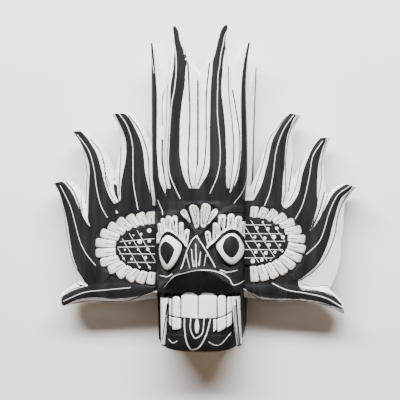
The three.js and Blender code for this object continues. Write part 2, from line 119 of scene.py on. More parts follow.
# Wings
WING_BACK = 13
WING_EDGE = 29
WING_TOP = 35
BORDER = 7.5
RING_RISE = 1.6
DISC_RISE = 2.4
GAP = 0.3
INSET = 12
ROOT = 0.1
SAWN_HEIGHT = 60
PETALS = 14
LEFT_WING = dict(
    name="left_wing", side=-1,
    ring=dict(x=-40.7, y=-54.5, across=57, along=33.7),
    disc=dict(x=-40.7, y=-54.5, across=37.3, along=21.5),
    flames=[
        dict(spine=((-95, -72), (-111.5, -43), (-119.5, -15), (-132, 6.6)), width=(24, 18, 13, 7),
             left=(12, 6, 4, 2), right=(6, 8, 7, 2), lean=0.8,
             black=((-135.9, 6.2), (-133.8, 1.1), (-131.0, -5.4), (-128.1, -14.7), (-125.7, -24.0),
                    (-123.8, -33.3), (-122.0, -44.4), (-120.5, -53.7), (-118.6, -62.9), (-115.3, -72.2),
                    (-111.1, -80.5), (-104.5, -88.8), (-93.2, -89.6), (-81.9, -74.7), (-88.5, -47.0),
                    (-100.7, -36.0), (-104.0, -33.2), (-108.2, -27.2), (-111.5, -20.3), (-114.9, -12.9),
                    (-117.7, -6.4), (-121.5, -0.3), (-125.7, 4.8), (-129.1, 7.1), (-132.9, 7.6))),
        dict(spine=((-88, -27), (-94.8, 1), (-99.3, 28), (-112.2, 53.7)), width=(28, 15.5, 9.5, 7),
             left=(6, 6, 4, 2), right=(9, 9, 6, 1.5), lean=0.8,
             black=((-118.6, 53.4), (-115.8, 49.3), (-112.0, 43.7), (-108.2, 36.2), (-105.4, 29.7),
                    (-103.5, 22.3), (-103.0, 15.8), (-103.5, 6.6), (-104.1, -5.4), (-104.5, -19.3),
                    (-104.0, -30.4), (-96.0, -41.5), (-81.9, -34.1), (-78.1, -17.5), (-82.8, -9.1),
                    (-86.6, -0.8), (-89.4, 8.4), (-91.7, 17.7), (-94.1, 26.9), (-96.9, 34.3),
                    (-100.7, 40.8), (-104.5, 46.4), (-108.7, 51.5), (-112.0, 53.9), (-115.8, 54.5))),
        dict(spine=((-58.5, -13), (-59.6, 17), (-61.5, 45), (-73.3, 69.8)), width=(31, 20.5, 13.5, 11),
             left=(8, 10, 6, 2), right=(9, 10, 6, 1.5), lean=0.8,
             black=((-80.0, 71.6), (-77.2, 65.2), (-73.9, 58.2), (-71.1, 51.7), (-69.2, 45.3),
                    (-68.6, 36.0), (-69.2, 26.8), (-71.1, 17.6), (-73.0, 8.4), (-73.9, -0.8),
                    (-74.1, -10.1), (-80.5, -15.5), (-66.9, -26.7), (-46.3, -22.9), (-44.0, -14.7),
                    (-44.5, -10.1), (-46.8, -0.9), (-49.1, 8.3), (-51.0, 17.5), (-51.6, 26.7),
                    (-52.9, 36.0), (-55.2, 45.2), (-58.5, 52.6), (-62.2, 60.0), (-65.9, 66.0),
                    (-69.7, 69.5), (-73.0, 70.0), (-76.2, 72.3))),
        dict(spine=((-36, -91), (-73, -92.5), (-101, -94.5), (-130, -103.5)), width=(6, 13.5, 12, 7),
             left=(6, 6, 5, 2), right=(4, 4, 9, 3), lean=0.4,
             black=((-129.7, -102.0), (-126.2, -98.4), (-119.6, -94.2), (-112.0, -91.3), (-104.5, -89.2),
                    (-98.8, -83.2), (-42.6, -82.7), (-42.6, -92.8), (-44.5, -94.7), (-49.1, -96.8),
                    (-55.7, -98.5), (-63.1, -99.7), (-72.5, -100.8), (-81.9, -101.5), (-91.3, -100.7),
                    (-100.7, -100.5), (-109.2, -101.3), (-115.8, -102.8), (-121.5, -105.6),
                    (-128.1, -108.3))),
    ],
    brushed=[((-81.4, 5.2), (-77.7, 3.8), (-76.7, -2.7), (-74.8, -12.8), (-79.1, -7.3), (-80.9, -1.8))],
    web=((-60, 25), (-41, 44), (-30, 44), (-30, -20), (-60, -20)),
    ink=[
        (((-138.9, 6.6), (-133.3, -5.7), (-128.4, -20.7), (-125.6, -37.1), (-122.8, -54.8), (-117.9, -69.8),
          (-110.3, -80.6), (-104.8, -87.4)), 0.9),
        (((-125.6, 6.6), (-118.6, -1.6), (-113.8, -12.5), (-110.3, -23.4), (-105.4, -32.9)), 1.0),
        (((-112.1, -1.6), (-111.4, -11.2), (-109.4, -20.7)), 0.5),
        (((-117.9, 47.5), (-111.7, 36.5), (-108.2, 25.6), (-106.1, 14.7), (-106.8, 1.1),
          (-107.5, -12.5)), 1.2),
        (((-102.0, 46.0), (-93.7, 35.1), (-89.5, 22.8), (-88.1, 9.2), (-84.0, -3.0), (-77.1, -15.2)), 0.8),
        (((-91.5, 28), (-87.2, 12.0), (-84.5, 3.5)), 0.5),
        (((-81.9, 70.3), (-80.0, 63.8), (-77.7, 57.3), (-75.8, 49.9), (-74.6, 43.5), (-74.4, 31.5),
          (-74.8, 17.6), (-75.3, 6.5), (-75.3, -5.5)), 1.1),
        (((-66.1, 67.5), (-57.8, 56.6), (-51.7, 43.0), (-48.2, 28.1), (-47.5, 14.5), (-46.2, 1.0),
          (-44.1, -12.5)), 1.0),
        (((-80.3, 32.5), (-80.9, 20), (-80.7, 8)), 0.9),
        (((-119.3, -83.4), (-115.9, -87.5), (-107.5, -90.1)), 0.9),
        (((-129.4, -100.5), (-120.0, -93.3), (-108.9, -89.5)), 0.9),
        (((-128.6, -110.2), (-114.7, -105.3), (-100.8, -103.8), (-84.2, -104.3), (-67.6, -103.4),
          (-56.6, -99.2), (-48.4, -95.1)), 0.9),
    ],
    chalk=[
        (((-130.5, 3), (-127.9, -1.7), (-120.7, -16.6), (-116.1, -33.2), (-111.6, -48.9), (-105.2, -60.9),
          (-97.5, -70.1)), 0.55),
        (((-114.2, 50.1), (-103.9, 36.2), (-98.7, 19.5), (-96.1, 1.0), (-92.3, -14.7),
          (-86.4, -25.8)), 0.6),
        (((-75.5, 70.1), (-67.8, 59.0), (-62.7, 42.4), (-62.0, 23.1), (-61.5, 4.7), (-57.5, -18.4)), 0.65),
        (((-127.2, -103.7), (-108.0, -95.7), (-88.2, -93.2), (-64.8, -90.8)), 0.55),
    ],
    hatch=dict(
        level=((-45.4, 0.09), (-52.5, 0.03), (-59.6, 0.0), (-67.4, 0.0)), slope=59,
        slants=(-76, -66.5, -57, -48),
        dots=((-46.6, -38.1, 4), (-54.2, -41.5, 2.4), (-61.3, -42.4, 1.6), (-55.5, -48.2, 4.2),
              (-46.6, -47.5, 3.2), (-64.8, -49.6, 1.8), (-69.2, -55.9, 1.8), (-56.9, -55.6, 2),
              (-48.0, -55.3, 3), (-70.6, -63.8, 1.8), (-63.0, -64.4, 2.2), (-50.1, -63.0, 2.8),
              (-64.4, -71.2, 1.6), (-55.5, -71.8, 1.8), (-46.6, -71.7, 2.2)),
    ),
)
RIGHT_WING = dict(
    name="right_wing", side=1,
    ring=dict(x=45.7, y=-50.5, across=50.9, along=34.6),
    disc=dict(x=45.7, y=-48, across=34.5, along=21.8),
    flames=[
        dict(spine=((95, -72), (113.5, -42), (120.5, -17), (136.2, 3.2)), width=(24, 17, 13, 6),
             left=(12, 8, 7, 2), right=(18, 7, 4.5, 2), lean=0.8,
             black=((139.6, 3.6), (135.3, 4.5), (131.8, 3.7), (128.2, 1.7), (123.7, -1.5), (120.1, -5.6),
                    (116.5, -11.9), (113.8, -17.3), (111.1, -22.7), (107.5, -29.1), (103.0, -35.9),
                    (98.5, -39.0), (88.6, -46.3), (86.8, -66.3), (84.1, -82.6), (91.3, -81.9),
                    (99.4, -75.7), (104.8, -71.1), (109.3, -65.2), (112.5, -58.9), (115.6, -51.6),
                    (117.9, -44.4), (119.7, -37.2), (121.5, -29.9), (123.2, -23.6), (125.0, -17.3),
                    (126.8, -11.9), (129.1, -7.4), (132.7, -4.2), (136.2, -1.1))),
        dict(spine=((92, -22), (98.7, 1), (103.7, 24), (114, 46.3)), width=(27, 15, 9.5, 4),
             left=(9, 9, 6, 2), right=(12, 8, 4, 1.5), lean=0.8,
             black=((115.4, 47.8), (111.1, 46.9), (107.5, 43.7), (103.9, 39.2), (101.2, 34.3), (99.0, 28.9),
                    (96.7, 23.4), (94.4, 17.1), (92.6, 9.9), (91.3, 2.6), (89.9, -3.7), (86.8, -9.6),
                    (83.1, -14.6), (78.6, -18.7), (80.4, -28.2), (94.9, -40.9), (100.8, -36.3),
                    (103.0, -28.2), (105.7, -20.9), (107.0, -14.6), (106.8, -4.6), (106.8, 2.6),
                    (107.1, 9.8), (107.5, 17.1), (108.1, 22.5), (109.3, 27.9), (110.7, 33.3),
                    (112.5, 38.7), (113.8, 41.9))),
        dict(spine=((62, -12), (68.7, 18), (74, 46), (86.5, 67.8)), width=(27, 16, 11.5, 5),
             left=(8, 7, 6, 2.5), right=(9, 8, 4, 1.5), lean=0.8,
             black=((88.6, 70.1), (84.1, 69.7), (81.3, 67.9), (78.6, 64.8), (75.4, 60.7), (72.3, 55.8),
                    (69.1, 49.9), (66.4, 44.4), (64.6, 38.1), (63.2, 30.8), (61.8, 23.6), (60.0, 17.2),
                    (58.2, 9.9), (55.9, 2.7), (52.7, -3.7), (49.1, -10.1), (45.9, -13.7), (47.7, -21.0),
                    (73.2, -21.0), (75.9, -16.4), (74.7, -12.8), (75.3, -5.5), (75.6, 3.5), (76.4, 12.6),
                    (77.4, 19.9), (77.7, 26.2), (78.0, 33.5), (78.6, 39.8), (79.5, 46.2), (80.9, 51.6),
                    (82.7, 56.1), (84.5, 61.6), (86.8, 65.6))),
        dict(spine=((36, -90), (75, -92), (103, -96), (131, -109.5)), width=(7, 12, 9, 3.5),
             left=(4, 7, 9, 2), right=(5, 5, 4, 1.5), lean=0.8,
             black=((128.4, -103.9), (125.5, -100.3), (121.0, -97.2), (114.7, -94.6), (107.5, -92.8),
                    (98.5, -91.8), (91.3, -90.1), (84.1, -77.5), (43.1, -77.8), (42.2, -91.1),
                    (46.8, -94.3), (51.4, -97.0), (58.6, -98.7), (69.5, -99.8), (80.4, -99.9),
                    (91.3, -99.8), (102.1, -101.0), (111.1, -102.7), (118.3, -104.9), (124.6, -107.1),
                    (130.0, -108.4))),
    ],
    brushed=[],
    web=((30, 2), (50, 2), (60, -4), (60, -20), (30, -20)),
    ink=[
        (((78.8, 66.2), (70.8, 55.6), (63.4, 45.6), (59.4, 31.6), (56.1, 18.2), (52.0, 6.2),
          (49.4, -4.5)), 1.0),
        (((88.8, 64.8), (83.4, 55.5), (80.1, 43.5), (78.5, 27.5), (78.1, 11.5), (78.1, -1.8),
          (76.1, -12.5)), 0.8),
        (((84.7, 30.2), (83.4, 16.9), (82.0, 6.2), (80.7, -1.8)), 0.9),
        (((103.4, 42.7), (96.1, 32.8), (91.4, 20.8), (89.4, 8.8), (86.1, -1.9), (81.4, -11.2)), 0.8),
        (((115.3, 44.0), (112.0, 32.7), (110.5, 19.4), (110.2, 6.1), (107.3, -9.9), (102.4, -33)), 0.7),
        (((113.3, -3.2), (110.6, -13.9), (106.6, -25.9), (101.3, -36.5)), 1.3),
        (((127.8, 4.1), (119.9, 0.8), (115.9, -7.2), (112.6, -17.8), (108.7, -28.5), (102.7, -36.5)), 0.8),
        (((135.7, -3.2), (129.8, -12.5), (125.2, -25.8), (122.6, -41.7), (117.3, -56.4), (110.7, -67.0),
          (101.4, -76.4), (90.8, -83.2)), 1.0),
        (((83.5, -85.2), (93.5, -90.4), (106.7, -92.3), (119.9, -96.1), (128.5, -104.0)), 0.9),
        (((93, -86.2), (104, -88.6), (115.3, -87.5), (122, -93)), 0.6),
        (((44.6, -91.7), (52.0, -99.6), (62.7, -101.5), (85.4, -101.3), (106.7, -103.7),
          (118.6, -105.6)), 0.9),
    ],
    chalk=[
        (((136.1, 2.5), (125.3, -5.6), (118.1, -20.0), (113.3, -36.3), (108.4, -48.0), (97.6, -58.9)), 0.6),
        (((111.5, 42.8), (103.0, 29.7), (100.0, 12.5), (96.4, -4.6), (92.8, -16.4), (87.3, -26.8)), 0.6),
        (((85.5, 66.9), (75.9, 52.5), (69.8, 34.4), (67.3, 15.3), (64.2, -1.9), (59.4, -14.6)), 0.6),
        (((66.7, -85.9), (79.6, -91.6), (97.6, -94.6), (114.5, -98.5), (128.9, -106.5)), 0.7),
    ],
    hatch=dict(
        level=((-32.6, 0.0), (-40.6, 0.0), (-47.5, 0.0), (-55.1, 0.0), (-62.6, 0.0)), slope=57,
        slants=(42, 50.5, 59.5, 69, 78),
        dots=((57.8, -30.1, 2), (52.3, -35.5, 3), (62.3, -36.4, 3), (70.5, -35.5, 3), (50.5, -43.7, 2.4),
              (59.6, -44.6, 2.8), (67.8, -43.6, 3.8), (76.0, -43.6, 3.2), (54.2, -51.0, 2.6),
              (63.3, -50.9, 3.2), (73.2, -50.9, 2.2), (51.4, -57.3, 3), (60.5, -58.2, 3.4),
              (68.7, -57.3, 2.4), (76.4, -57.2, 2.6), (48.7, -65.5, 4), (56.9, -64.6, 3),
              (65.1, -65.4, 2.2)),
    ),
)

# Fineness of the carved surfaces
BLOCK_COLUMNS = 200
FACE_ROWS = 165
CROWN_ROWS = 120
WING_GRAIN = 0.85


def mix(a, b, share):
    return a + (b - a) * share


def clamp(value):
    return np.clip(value, 0, 1)


def ease(value):
    value = clamp(value)
    return value * value * (3 - 2 * value)


def round_max(a, b, softness):
    """The higher of two surfaces, with the corner between them filled in."""
    blend = clamp(0.5 + 0.5 * (a - b) / softness)
    return mix(b, a, blend) + softness * blend * (1 - blend)


def through_four(stops, share):
    a, b, c, d = stops
    s = share * 3
    return (a * (1 - s) * (2 - s) * (3 - s) / 6 + b * s * (2 - s) * (3 - s) / 2
            - c * s * (1 - s) * (3 - s) / 2 + d * s * (1 - s) * (2 - s) / 6)


def between_four(stops, share):
    return np.interp(clamp(share) * 3, (0, 1, 2, 3), stops)


# Shaping with bmesh

def finished(name, bm):
    mesh = bpy.data.meshes.new(name)
    bm.to_mesh(mesh)
    bm.free()
    piece = bpy.data.objects.new(name, mesh)
    bpy.context.scene.collection.objects.link(piece)
    return piece


def carve(name, columns, rows, place):
    """A closed block whose front is a fine sheet: place takes the shares across and along, and
    whether a point is on the back, and returns the points in millimetres."""
    bm = bmesh.new()
    bmesh.ops.create_grid(bm, x_segments=columns, y_segments=rows, size=0.5)
    rim = [edge for edge in bm.edges if edge.is_boundary]
    skirt = bmesh.ops.extrude_edge_only(bm, edges=rim)["geom"]
    back = {item for item in skirt if isinstance(item, bmesh.types.BMVert)}
    loop = [item for item in skirt if isinstance(item, bmesh.types.BMEdge) and item.is_boundary]
    bmesh.ops.contextual_create(bm, geom=loop)
    verts = list(bm.verts)
    u = np.array([vert.co.x + 0.5 for vert in verts])
    v = np.array([vert.co.y + 0.5 for vert in verts])
    behind = np.array([vert in back for vert in verts])
    for vert, point in zip(verts, place(u, v, behind)):
        vert.co = point
    bmesh.ops.recalc_face_normals(bm, faces=bm.faces)
    return finished(name, bm)


def board(name, outline, low, high):
    """A flat board sawn to an outline."""
    bm = bmesh.new()
    corners = [bm.verts.new((x, y, low)) for x, y in outline]
    edges = [bm.edges.new(ends) for ends in zip(corners, corners[1:] + corners[:1])]
    sawn = bmesh.ops.contextual_create(bm, geom=edges)["faces"]
    raised = bmesh.ops.extrude_face_region(bm, geom=sawn, use_keep_orig=True)["geom"]
    top = [item for item in raised if isinstance(item, bmesh.types.BMVert)]
    bmesh.ops.translate(bm, verts=top, vec=(0, 0, high - low))
    bmesh.ops.recalc_face_normals(bm, faces=bm.faces)
    return finished(name, bm)


def fit_together(piece, tools, operation):
    """Joins other blocks to a piece, cuts them out of it, or keeps what they share."""
    for tool in tools:
        step = piece.modifiers.new(operation.lower(), "BOOLEAN")
        step.operation = operation
        step.solver = "MANIFOLD"
        step.object = tool
    seen = piece.evaluated_get(bpy.context.evaluated_depsgraph_get())
    made = bpy.data.meshes.new_from_object(seen)
    piece.modifiers.clear()
    worn = piece.data
    piece.data = made
    made.name = piece.name
    made.materials.clear()
    bpy.data.meshes.remove(worn)
    for tool in tools:
        spare = tool.data
        bpy.data.objects.remove(tool)
        bpy.data.meshes.remove(spare)
    return piece


def points_of(mesh):
    flat = np.empty(len(mesh.vertices) * 3)
    mesh.vertices.foreach_get("co", flat)
    return flat.reshape(-1, 3)


# The block's rounded section

turn = np.linspace(0, math.pi / 2, 801)
SECTION_ACROSS = np.sin(turn) ** (2 / SQUARENESS)
SECTION_HEIGHT = np.maximum(0, np.cos(turn)) ** (2 / SQUARENESS)
steps = np.hypot(np.diff(SECTION_ACROSS) * HALF_WIDTH, np.diff(SECTION_HEIGHT) * FACE_DEPTH)
SECTION_GIRTH = np.concatenate(([0], np.cumsum(steps)))
RIM_GIRTH = SECTION_GIRTH[np.nonzero(SECTION_HEIGHT * FACE_DEPTH > RIM_HEIGHT)[0][-1]]


def half_width(y):
    reach = (y - CHEEK["y"]) / CHEEK["reach"]
    return HALF_WIDTH + FLARE * y + CHEEK["swell"] * clamp(1 - reach ** 2) ** 2


def block_depth(y):
    chin = clamp((y - (REAR_FOOT - FRONT_FOOT_DROP)) / CHIN_ROUNDING)
    rounded = mix(CHIN_DEPTH, FACE_DEPTH, np.sqrt(1 - (1 - chin) ** 2))
    return mix(rounded, CROWN_TOP_DEPTH, clamp((y - CROWN_FOOT) / (CROWN_TOP - CROWN_FOOT)))


def on_block(girth, y, lift, inset=0):
    width = half_width(y) - inset
    depth = block_depth(y) - inset
    walked = np.minimum(np.abs(girth), RIM_GIRTH)
    across = np.sign(girth) * np.interp(walked, SECTION_GIRTH, SECTION_ACROSS)
    height = np.interp(walked, SECTION_GIRTH, SECTION_HEIGHT)
    out_x = np.sign(across) * np.abs(across) ** (SQUARENESS - 1) / width
    out_z = height ** (SQUARENESS - 1) / depth
    length = np.hypot(out_x, out_z)
    return across * width + lift * out_x / length, height * depth + lift * out_z / length


def girth_at(x, y, z):
    """The girth under a point on or near the block's surface."""
    across = np.abs(x) / half_width(y)
    height = np.maximum(z, 0) / block_depth(y)
    angle = np.arctan2(across ** (SQUARENESS / 2), height ** (SQUARENESS / 2))
    return np.sign(x) * np.interp(angle, turn, SECTION_GIRTH)


def section_reach(x, y, z, wall):
    """How far out a point is in the block's section, where 1 is the surface less a wall."""
    across = np.abs(x) / (half_width(y) - wall)
    height = np.maximum(z, 0) / (block_depth(y) - wall)
    return (across ** SQUARENESS + height ** SQUARENESS) ** (1 / SQUARENESS)


def front_height(x, y):
    share = clamp(np.abs(x) / half_width(y))
    return block_depth(y) * (1 - share ** SQUARENESS) ** (1 / SQUARENESS)


def front_girth(x, y):
    return girth_at(x, y, front_height(x, y))


# The crown

def flame_girth(flame, y, side):
    share = clamp((y - CROWN_FOOT) / (flame["tip"] - CROWN_FOOT))
    return through_four(flame["centre"], share) + side * between_four(flame["width"], share)


def valley_girth(left, right, y):
    return (flame_girth(left, y, 0.5) + flame_girth(right, y, -0.5)) / 2


def crown_bounds(i, y):
    """The girths of a flame's valley, ridge edge, ridge edge and next valley."""
    flame = CROWN_FLAMES[i]
    before = valley_girth(CROWN_FLAMES[i - 1], flame, y) if i else -RIM_GIRTH + 0 * y
    after = valley_girth(flame, CROWN_FLAMES[i + 1], y) if i + 1 < len(CROWN_FLAMES) else RIM_GIRTH + 0 * y
    return before, flame_girth(flame, y, -0.5), flame_girth(flame, y, 0.5), after


def crown_ridge(girth, y):
    """How far the crown's ridges stand out, and how far inside a ridge's edge a point is."""
    lift = np.zeros_like(girth)
    inside = np.full_like(girth, -50.0)
    for i, flame in enumerate(CROWN_FLAMES):
        before, left, right, after = crown_bounds(i, y)
        mine = (girth >= before) & (girth <= after)
        middle = (left + right) / 2
        half = np.maximum(0.5, (right - left) / 2)
        crowning = RIDGE_CROWNING * np.maximum(0, 1 - np.abs(girth - middle) / half)
        side = np.where(girth < left, (girth - before) / np.maximum(0.3, left - before),
                        (after - girth) / np.maximum(0.3, after - right))
        on_ridge = (girth >= left) & (girth <= right)
        here = np.where(on_ridge, flame["ridge"] + crowning, flame["ridge"] * clamp(side))
        lift = np.where(mine, here, lift)
        inside = np.where(mine, np.minimum(girth - left, right - girth), inside)
    return lift, inside


def crown_tip(girth):
    """Where the crown ends above each girth of its foot."""
    knots, tips = [-RIM_GIRTH], [CROWN_FLAMES[0]["tip"]]
    for i, flame in enumerate(CROWN_FLAMES):
        for side in (-0.5, 0.5):
            knots.append(flame_girth(flame, np.array(float(CROWN_FOOT)), side))
            tips.append(flame["tip"])
        if i + 1 < len(CROWN_FLAMES):
            following = CROWN_FLAMES[i + 1]
            knots.append(valley_girth(flame, following, np.array(float(CROWN_FOOT))))
            tips.append(max(flame["tip"], following["tip"]))
    knots.append(RIM_GIRTH)
    tips.append(CROWN_FLAMES[-1]["tip"])
    return np.interp(girth, knots, tips)


# The face

def dome(x, y, form):
    reach = np.hypot((x - form["x"]) / form["across"], (y - form["y"]) / form["along"])
    return form["rise"] * np.sqrt(np.maximum(0, 1 - reach ** 2))


def ridge_droop(x, y):
    nearness = clamp(1 - np.abs(y - SNOUT["ridge"]) / SNOUT["spread"])
    return SNOUT["droop"] * np.minimum(x ** 2, SNOUT["reach"] ** 2) * nearness


def snout_lift(x, y):
    ridge = SNOUT["ridge"] - SNOUT["droop"] * x ** 2
    side = np.sqrt(clamp(1 - (x / SNOUT["reach"]) ** 2))
    above = ease(1 - (y - ridge) / SNOUT["shoulder"])
    below = clamp((y - SNOUT["edge"]) / (ridge - SNOUT["edge"])) ** 0.8
    return SNOUT["rise"] * side * np.where(y >= ridge, above, below)


def nose_lift(x, y):
    share = clamp((y + 40) / -30)
    half = mix(5, 16, share)
    rise = mix(2.5, 12, share)
    fade = ease((-36 - y) / 5)
    return np.where(y < -71, 0, rise * fade * clamp(1.35 * (1 - np.abs(x) / half)))


def nearest_run(path, x, y):
    """For each point, the nearest of a line's straight runs, the share of the way along that run,
    and the distance, which is positive on the line's left."""
    ax, ay = path[:-1, 0][:, None], path[:-1, 1][:, None]
    dx, dy = np.diff(path[:, 0])[:, None], np.diff(path[:, 1])[:, None]
    share = clamp(((x - ax) * dx + (y - ay) * dy) / np.maximum(1e-9, dx * dx + dy * dy))
    off_x, off_y = x - ax - share * dx, y - ay - share * dy
    distance = np.hypot(off_x, off_y)
    nearest = np.argmin(distance, axis=0)
    column = np.arange(x.size)
    side = np.sign((dx * off_y - dy * off_x)[nearest, column])
    return nearest, share[nearest, column], side * distance[nearest, column]


def near_stroke(points, x, y):
    """Distance from a smooth stroke, positive on its left."""
    return nearest_run(smooth_path(points), x, y)[2]


def smooth_path(points, step=2.0, closed=False):
    """A smooth line through the points, as short straight runs."""
    points = np.array(points, float)
    if closed:
        stops = np.vstack((points[-1], points, points[0], points[1]))
    else:
        stops = np.vstack((2 * points[0] - points[1], points, 2 * points[-1] - points[-2]))
    path = []
    for a, b, c, d in zip(stops[:-3], stops[1:-2], stops[2:-1], stops[3:]):
        runs = max(2, int(np.hypot(*(c - b)) / step))
        for t in np.linspace(0, 1, runs, endpoint=False):
            path.append(0.5 * (2 * b + (c - a) * t + (2 * a - 5 * b + 4 * c - d) * t ** 2
                               + (3 * b - a - 3 * c + d) * t ** 3))
    path.append(points[0] if closed else points[-1])
    return np.array(path)


def inside_shape(points, x, y):
    """Distance inside a smooth closed outline, negative outside it."""
    path = smooth_path(points, closed=True)
    ax, ay = path[:-1, 0][:, None], path[:-1, 1][:, None]
    bx, by = path[1:, 0][:, None], path[1:, 1][:, None]
    share = clamp(((x - ax) * (bx - ax) + (y - ay) * (by - ay))
                  / np.maximum(1e-9, (bx - ax) ** 2 + (by - ay) ** 2))
    distance = np.hypot(x - ax - share * (bx - ax), y - ay - share * (by - ay)).min(axis=0)
    crossed = ((ay > y) != (by > y)) & (x < ax + (bx - ax) * (y - ay) / np.where(by == ay, 1e-9, by - ay))
    return np.where(crossed.sum(axis=0) % 2 == 1, distance, -distance)


def inside_leaf(base, tip, base_half, tip_half, x, y, blunt=0.9):
    """Distance inside a petal that widens from its base to its blunt tip, and the place across it
    and along it."""
    base, tip = np.array(base, float), np.array(tip, float)
    run = tip - base
    length = np.hypot(*run)
    run = run / length
    along = (x - base[0]) * run[0] + (y - base[1]) * run[1]
    across = (y - base[1]) * run[0] - (x - base[0]) * run[1]
    share = along / length
    half = mix(base_half, tip_half, clamp(share))
    corner = blunt * tip_half
    out_across, out_along = np.abs(across) - half + corner, along - length + corner
    inside = corner - np.hypot(np.maximum(out_across, 0), np.maximum(out_along, 0)) - np.minimum(
        np.maximum(out_across, out_along), 0)
    return np.minimum(inside, along + 0.5), across, share


# Each petal: base, tip, half width at both, and the places of its dark slits across the tip
BROW_PETALS = [
    ((-37.5, -49), (-37.2, -40.0), 1.6, 1.7, ()),
    ((-34.0, -45), (-35.6, -31.0), 1.7, 2.0, (0,)),
    ((-30.0, -42), (-32.1, -26.4), 1.7, 2.0, (0.1,)),
    ((-25.8, -40), (-26.3, -24.2), 2.2, 2.9, (-0.9, 1.0)),
    ((-19.6, -44), (-20.6, -24.0), 2.0, 2.5, (-0.3, 1.1)),
    ((-14.6, -49), (-14.6, -30.2), 1.9, 1.9, (0.2,)),
    ((-11.0, -52), (-9.3, -36.4), 1.6, 2.3, (-0.5, 0.9)),
    ((11.1, -52), (9.0, -38.0), 1.8, 2.6, (-0.6, 0.8)),
    ((15.9, -48.5), (16.3, -30.4), 2.0, 2.2, (-0.7, 0.7)),
    ((21.4, -43), (22.6, -22.8), 2.5, 3.6, (-1.5, 0, 1.4)),
    ((29.4, -38.5), (30.4, -22.4), 2.8, 2.9, (-0.9, 0.8)),
    ((35.0, -39.5), (37.0, -24.6), 2.5, 2.9, (-1.0, 0.7)),
    ((39.0, -43.5), (41.0, -29.5), 1.6, 2.0, (0.2,)),
    ((42.6, -51), (43.2, -40.0), 1.5, 1.7, (0,)),
]
# Each petal's outline, and its dark slits
FOREHEAD_PETALS = [
    (((3.1, -18), (6.0, -12.9), (11.6, -15.0), (11.4, -21.2), (8.4, -30), (6.9, -34.4), (3.2, -33.9),
      (2.9, -26)),
     (((5.6, -15.4), (4.9, -23), (4.4, -31)), ((8.8, -15.5), (7.4, -24), (5.8, -32)))),
    (((-7.3, -16.2), (-3.3, -14.4), (1.0, -17.6), (1.5, -26), (1.3, -33.0), (-1.7, -35.5), (-4.6, -27)),
     (((-4.6, -16.4), (-2.4, -25), (-0.7, -32)), ((-1.4, -16.6), (-0.4, -25), (0.2, -31)))),
    (((-15.3, -21.4), (-11.4, -18.0), (-9.0, -22), (-6.0, -31.0), (-10, -27)),
     (((-12.9, -20.3), (-10.3, -24), (-8.1, -28)),)),
    (((12.6, -20.8), (16.9, -17.6), (18.6, -20.9), (14.5, -26.5), (9.0, -32.2), (11, -26)),
     (((15.9, -19.6), (13.4, -24), (11.2, -28.6)),)),
]
SCLERAS = [
    ((-35.0, -51), (-30.9, -43.9), (-26.9, -41.8), (-22, -44.2), (-14.6, -50.4), (-15.4, -57),
     (-18.7, -64.7), (-23, -71), (-27.2, -73.8), (-31.4, -71.4), (-34.4, -65), (-35.8, -57)),
    ((16.8, -51.3), (21.4, -45.8), (25.6, -41.6), (30.7, -39.8), (35.2, -41.6), (38.8, -46.4), (41, -53),
     (40.1, -59.6), (35.8, -65.6), (30.4, -68.3), (25, -64.4), (20.8, -58.5)),
]
PUPILS = [
    ((-34.6, -54.5), (-32.4, -49.3), (-28.5, -47.3), (-24.2, -49.6), (-20.5, -54), (-21.9, -60),
     (-25.2, -66), (-27.5, -68.3), (-30.5, -65), (-33.6, -60)),
    ((23.2, -50.6), (25.6, -44.6), (30.7, -41.9), (35.8, -45.2), (37.6, -51.2), (36.4, -56.6),
     (33.4, -60.8), (30.4, -62), (26.8, -59.6), (23.8, -55.4)),
]
LIDS = [
    ((-34.6, -47.5), (-31.5, -42), (-27.2, -39.3), (-23, -40.6), (-18.7, -43.8), (-12.6, -50.2)),
    ((11.1, -52.5), (17.1, -47.4), (22.6, -41.4), (29.8, -37.2), (35.6, -38.4), (40.4, -44.5)),
]
BROW_ARCS = [
    ((-15, -20.7), (-9.5, -13), (-0.9, -9.2), (3.5, -8.8), (10, -10.4), (17.3, -14.6), (20.9, -18.5)),
    ((15, -27), (19, -22.3), (24, -19.4), (32.4, -18.2), (44.5, -19.4)),
    ((-42, -24), (-29.7, -22.9), (-23.5, -21.9), (-17.4, -22.8), (-12.5, -26.5)),
]
CROSS_BANDS = [
    ((-15, -24.6), (-9.5, -30.4), (-0.9, -40)),
    ((17, -25), (13.7, -28.5), (7.6, -35.2), (2.5, -41)),
]


def band(points, x, y, half, rise):
    """A raised rounded bead along a stroke."""
    off = np.abs(near_stroke(points, x, y)) / half
    return rise * np.sqrt(np.maximum(0, 1 - off ** 2))


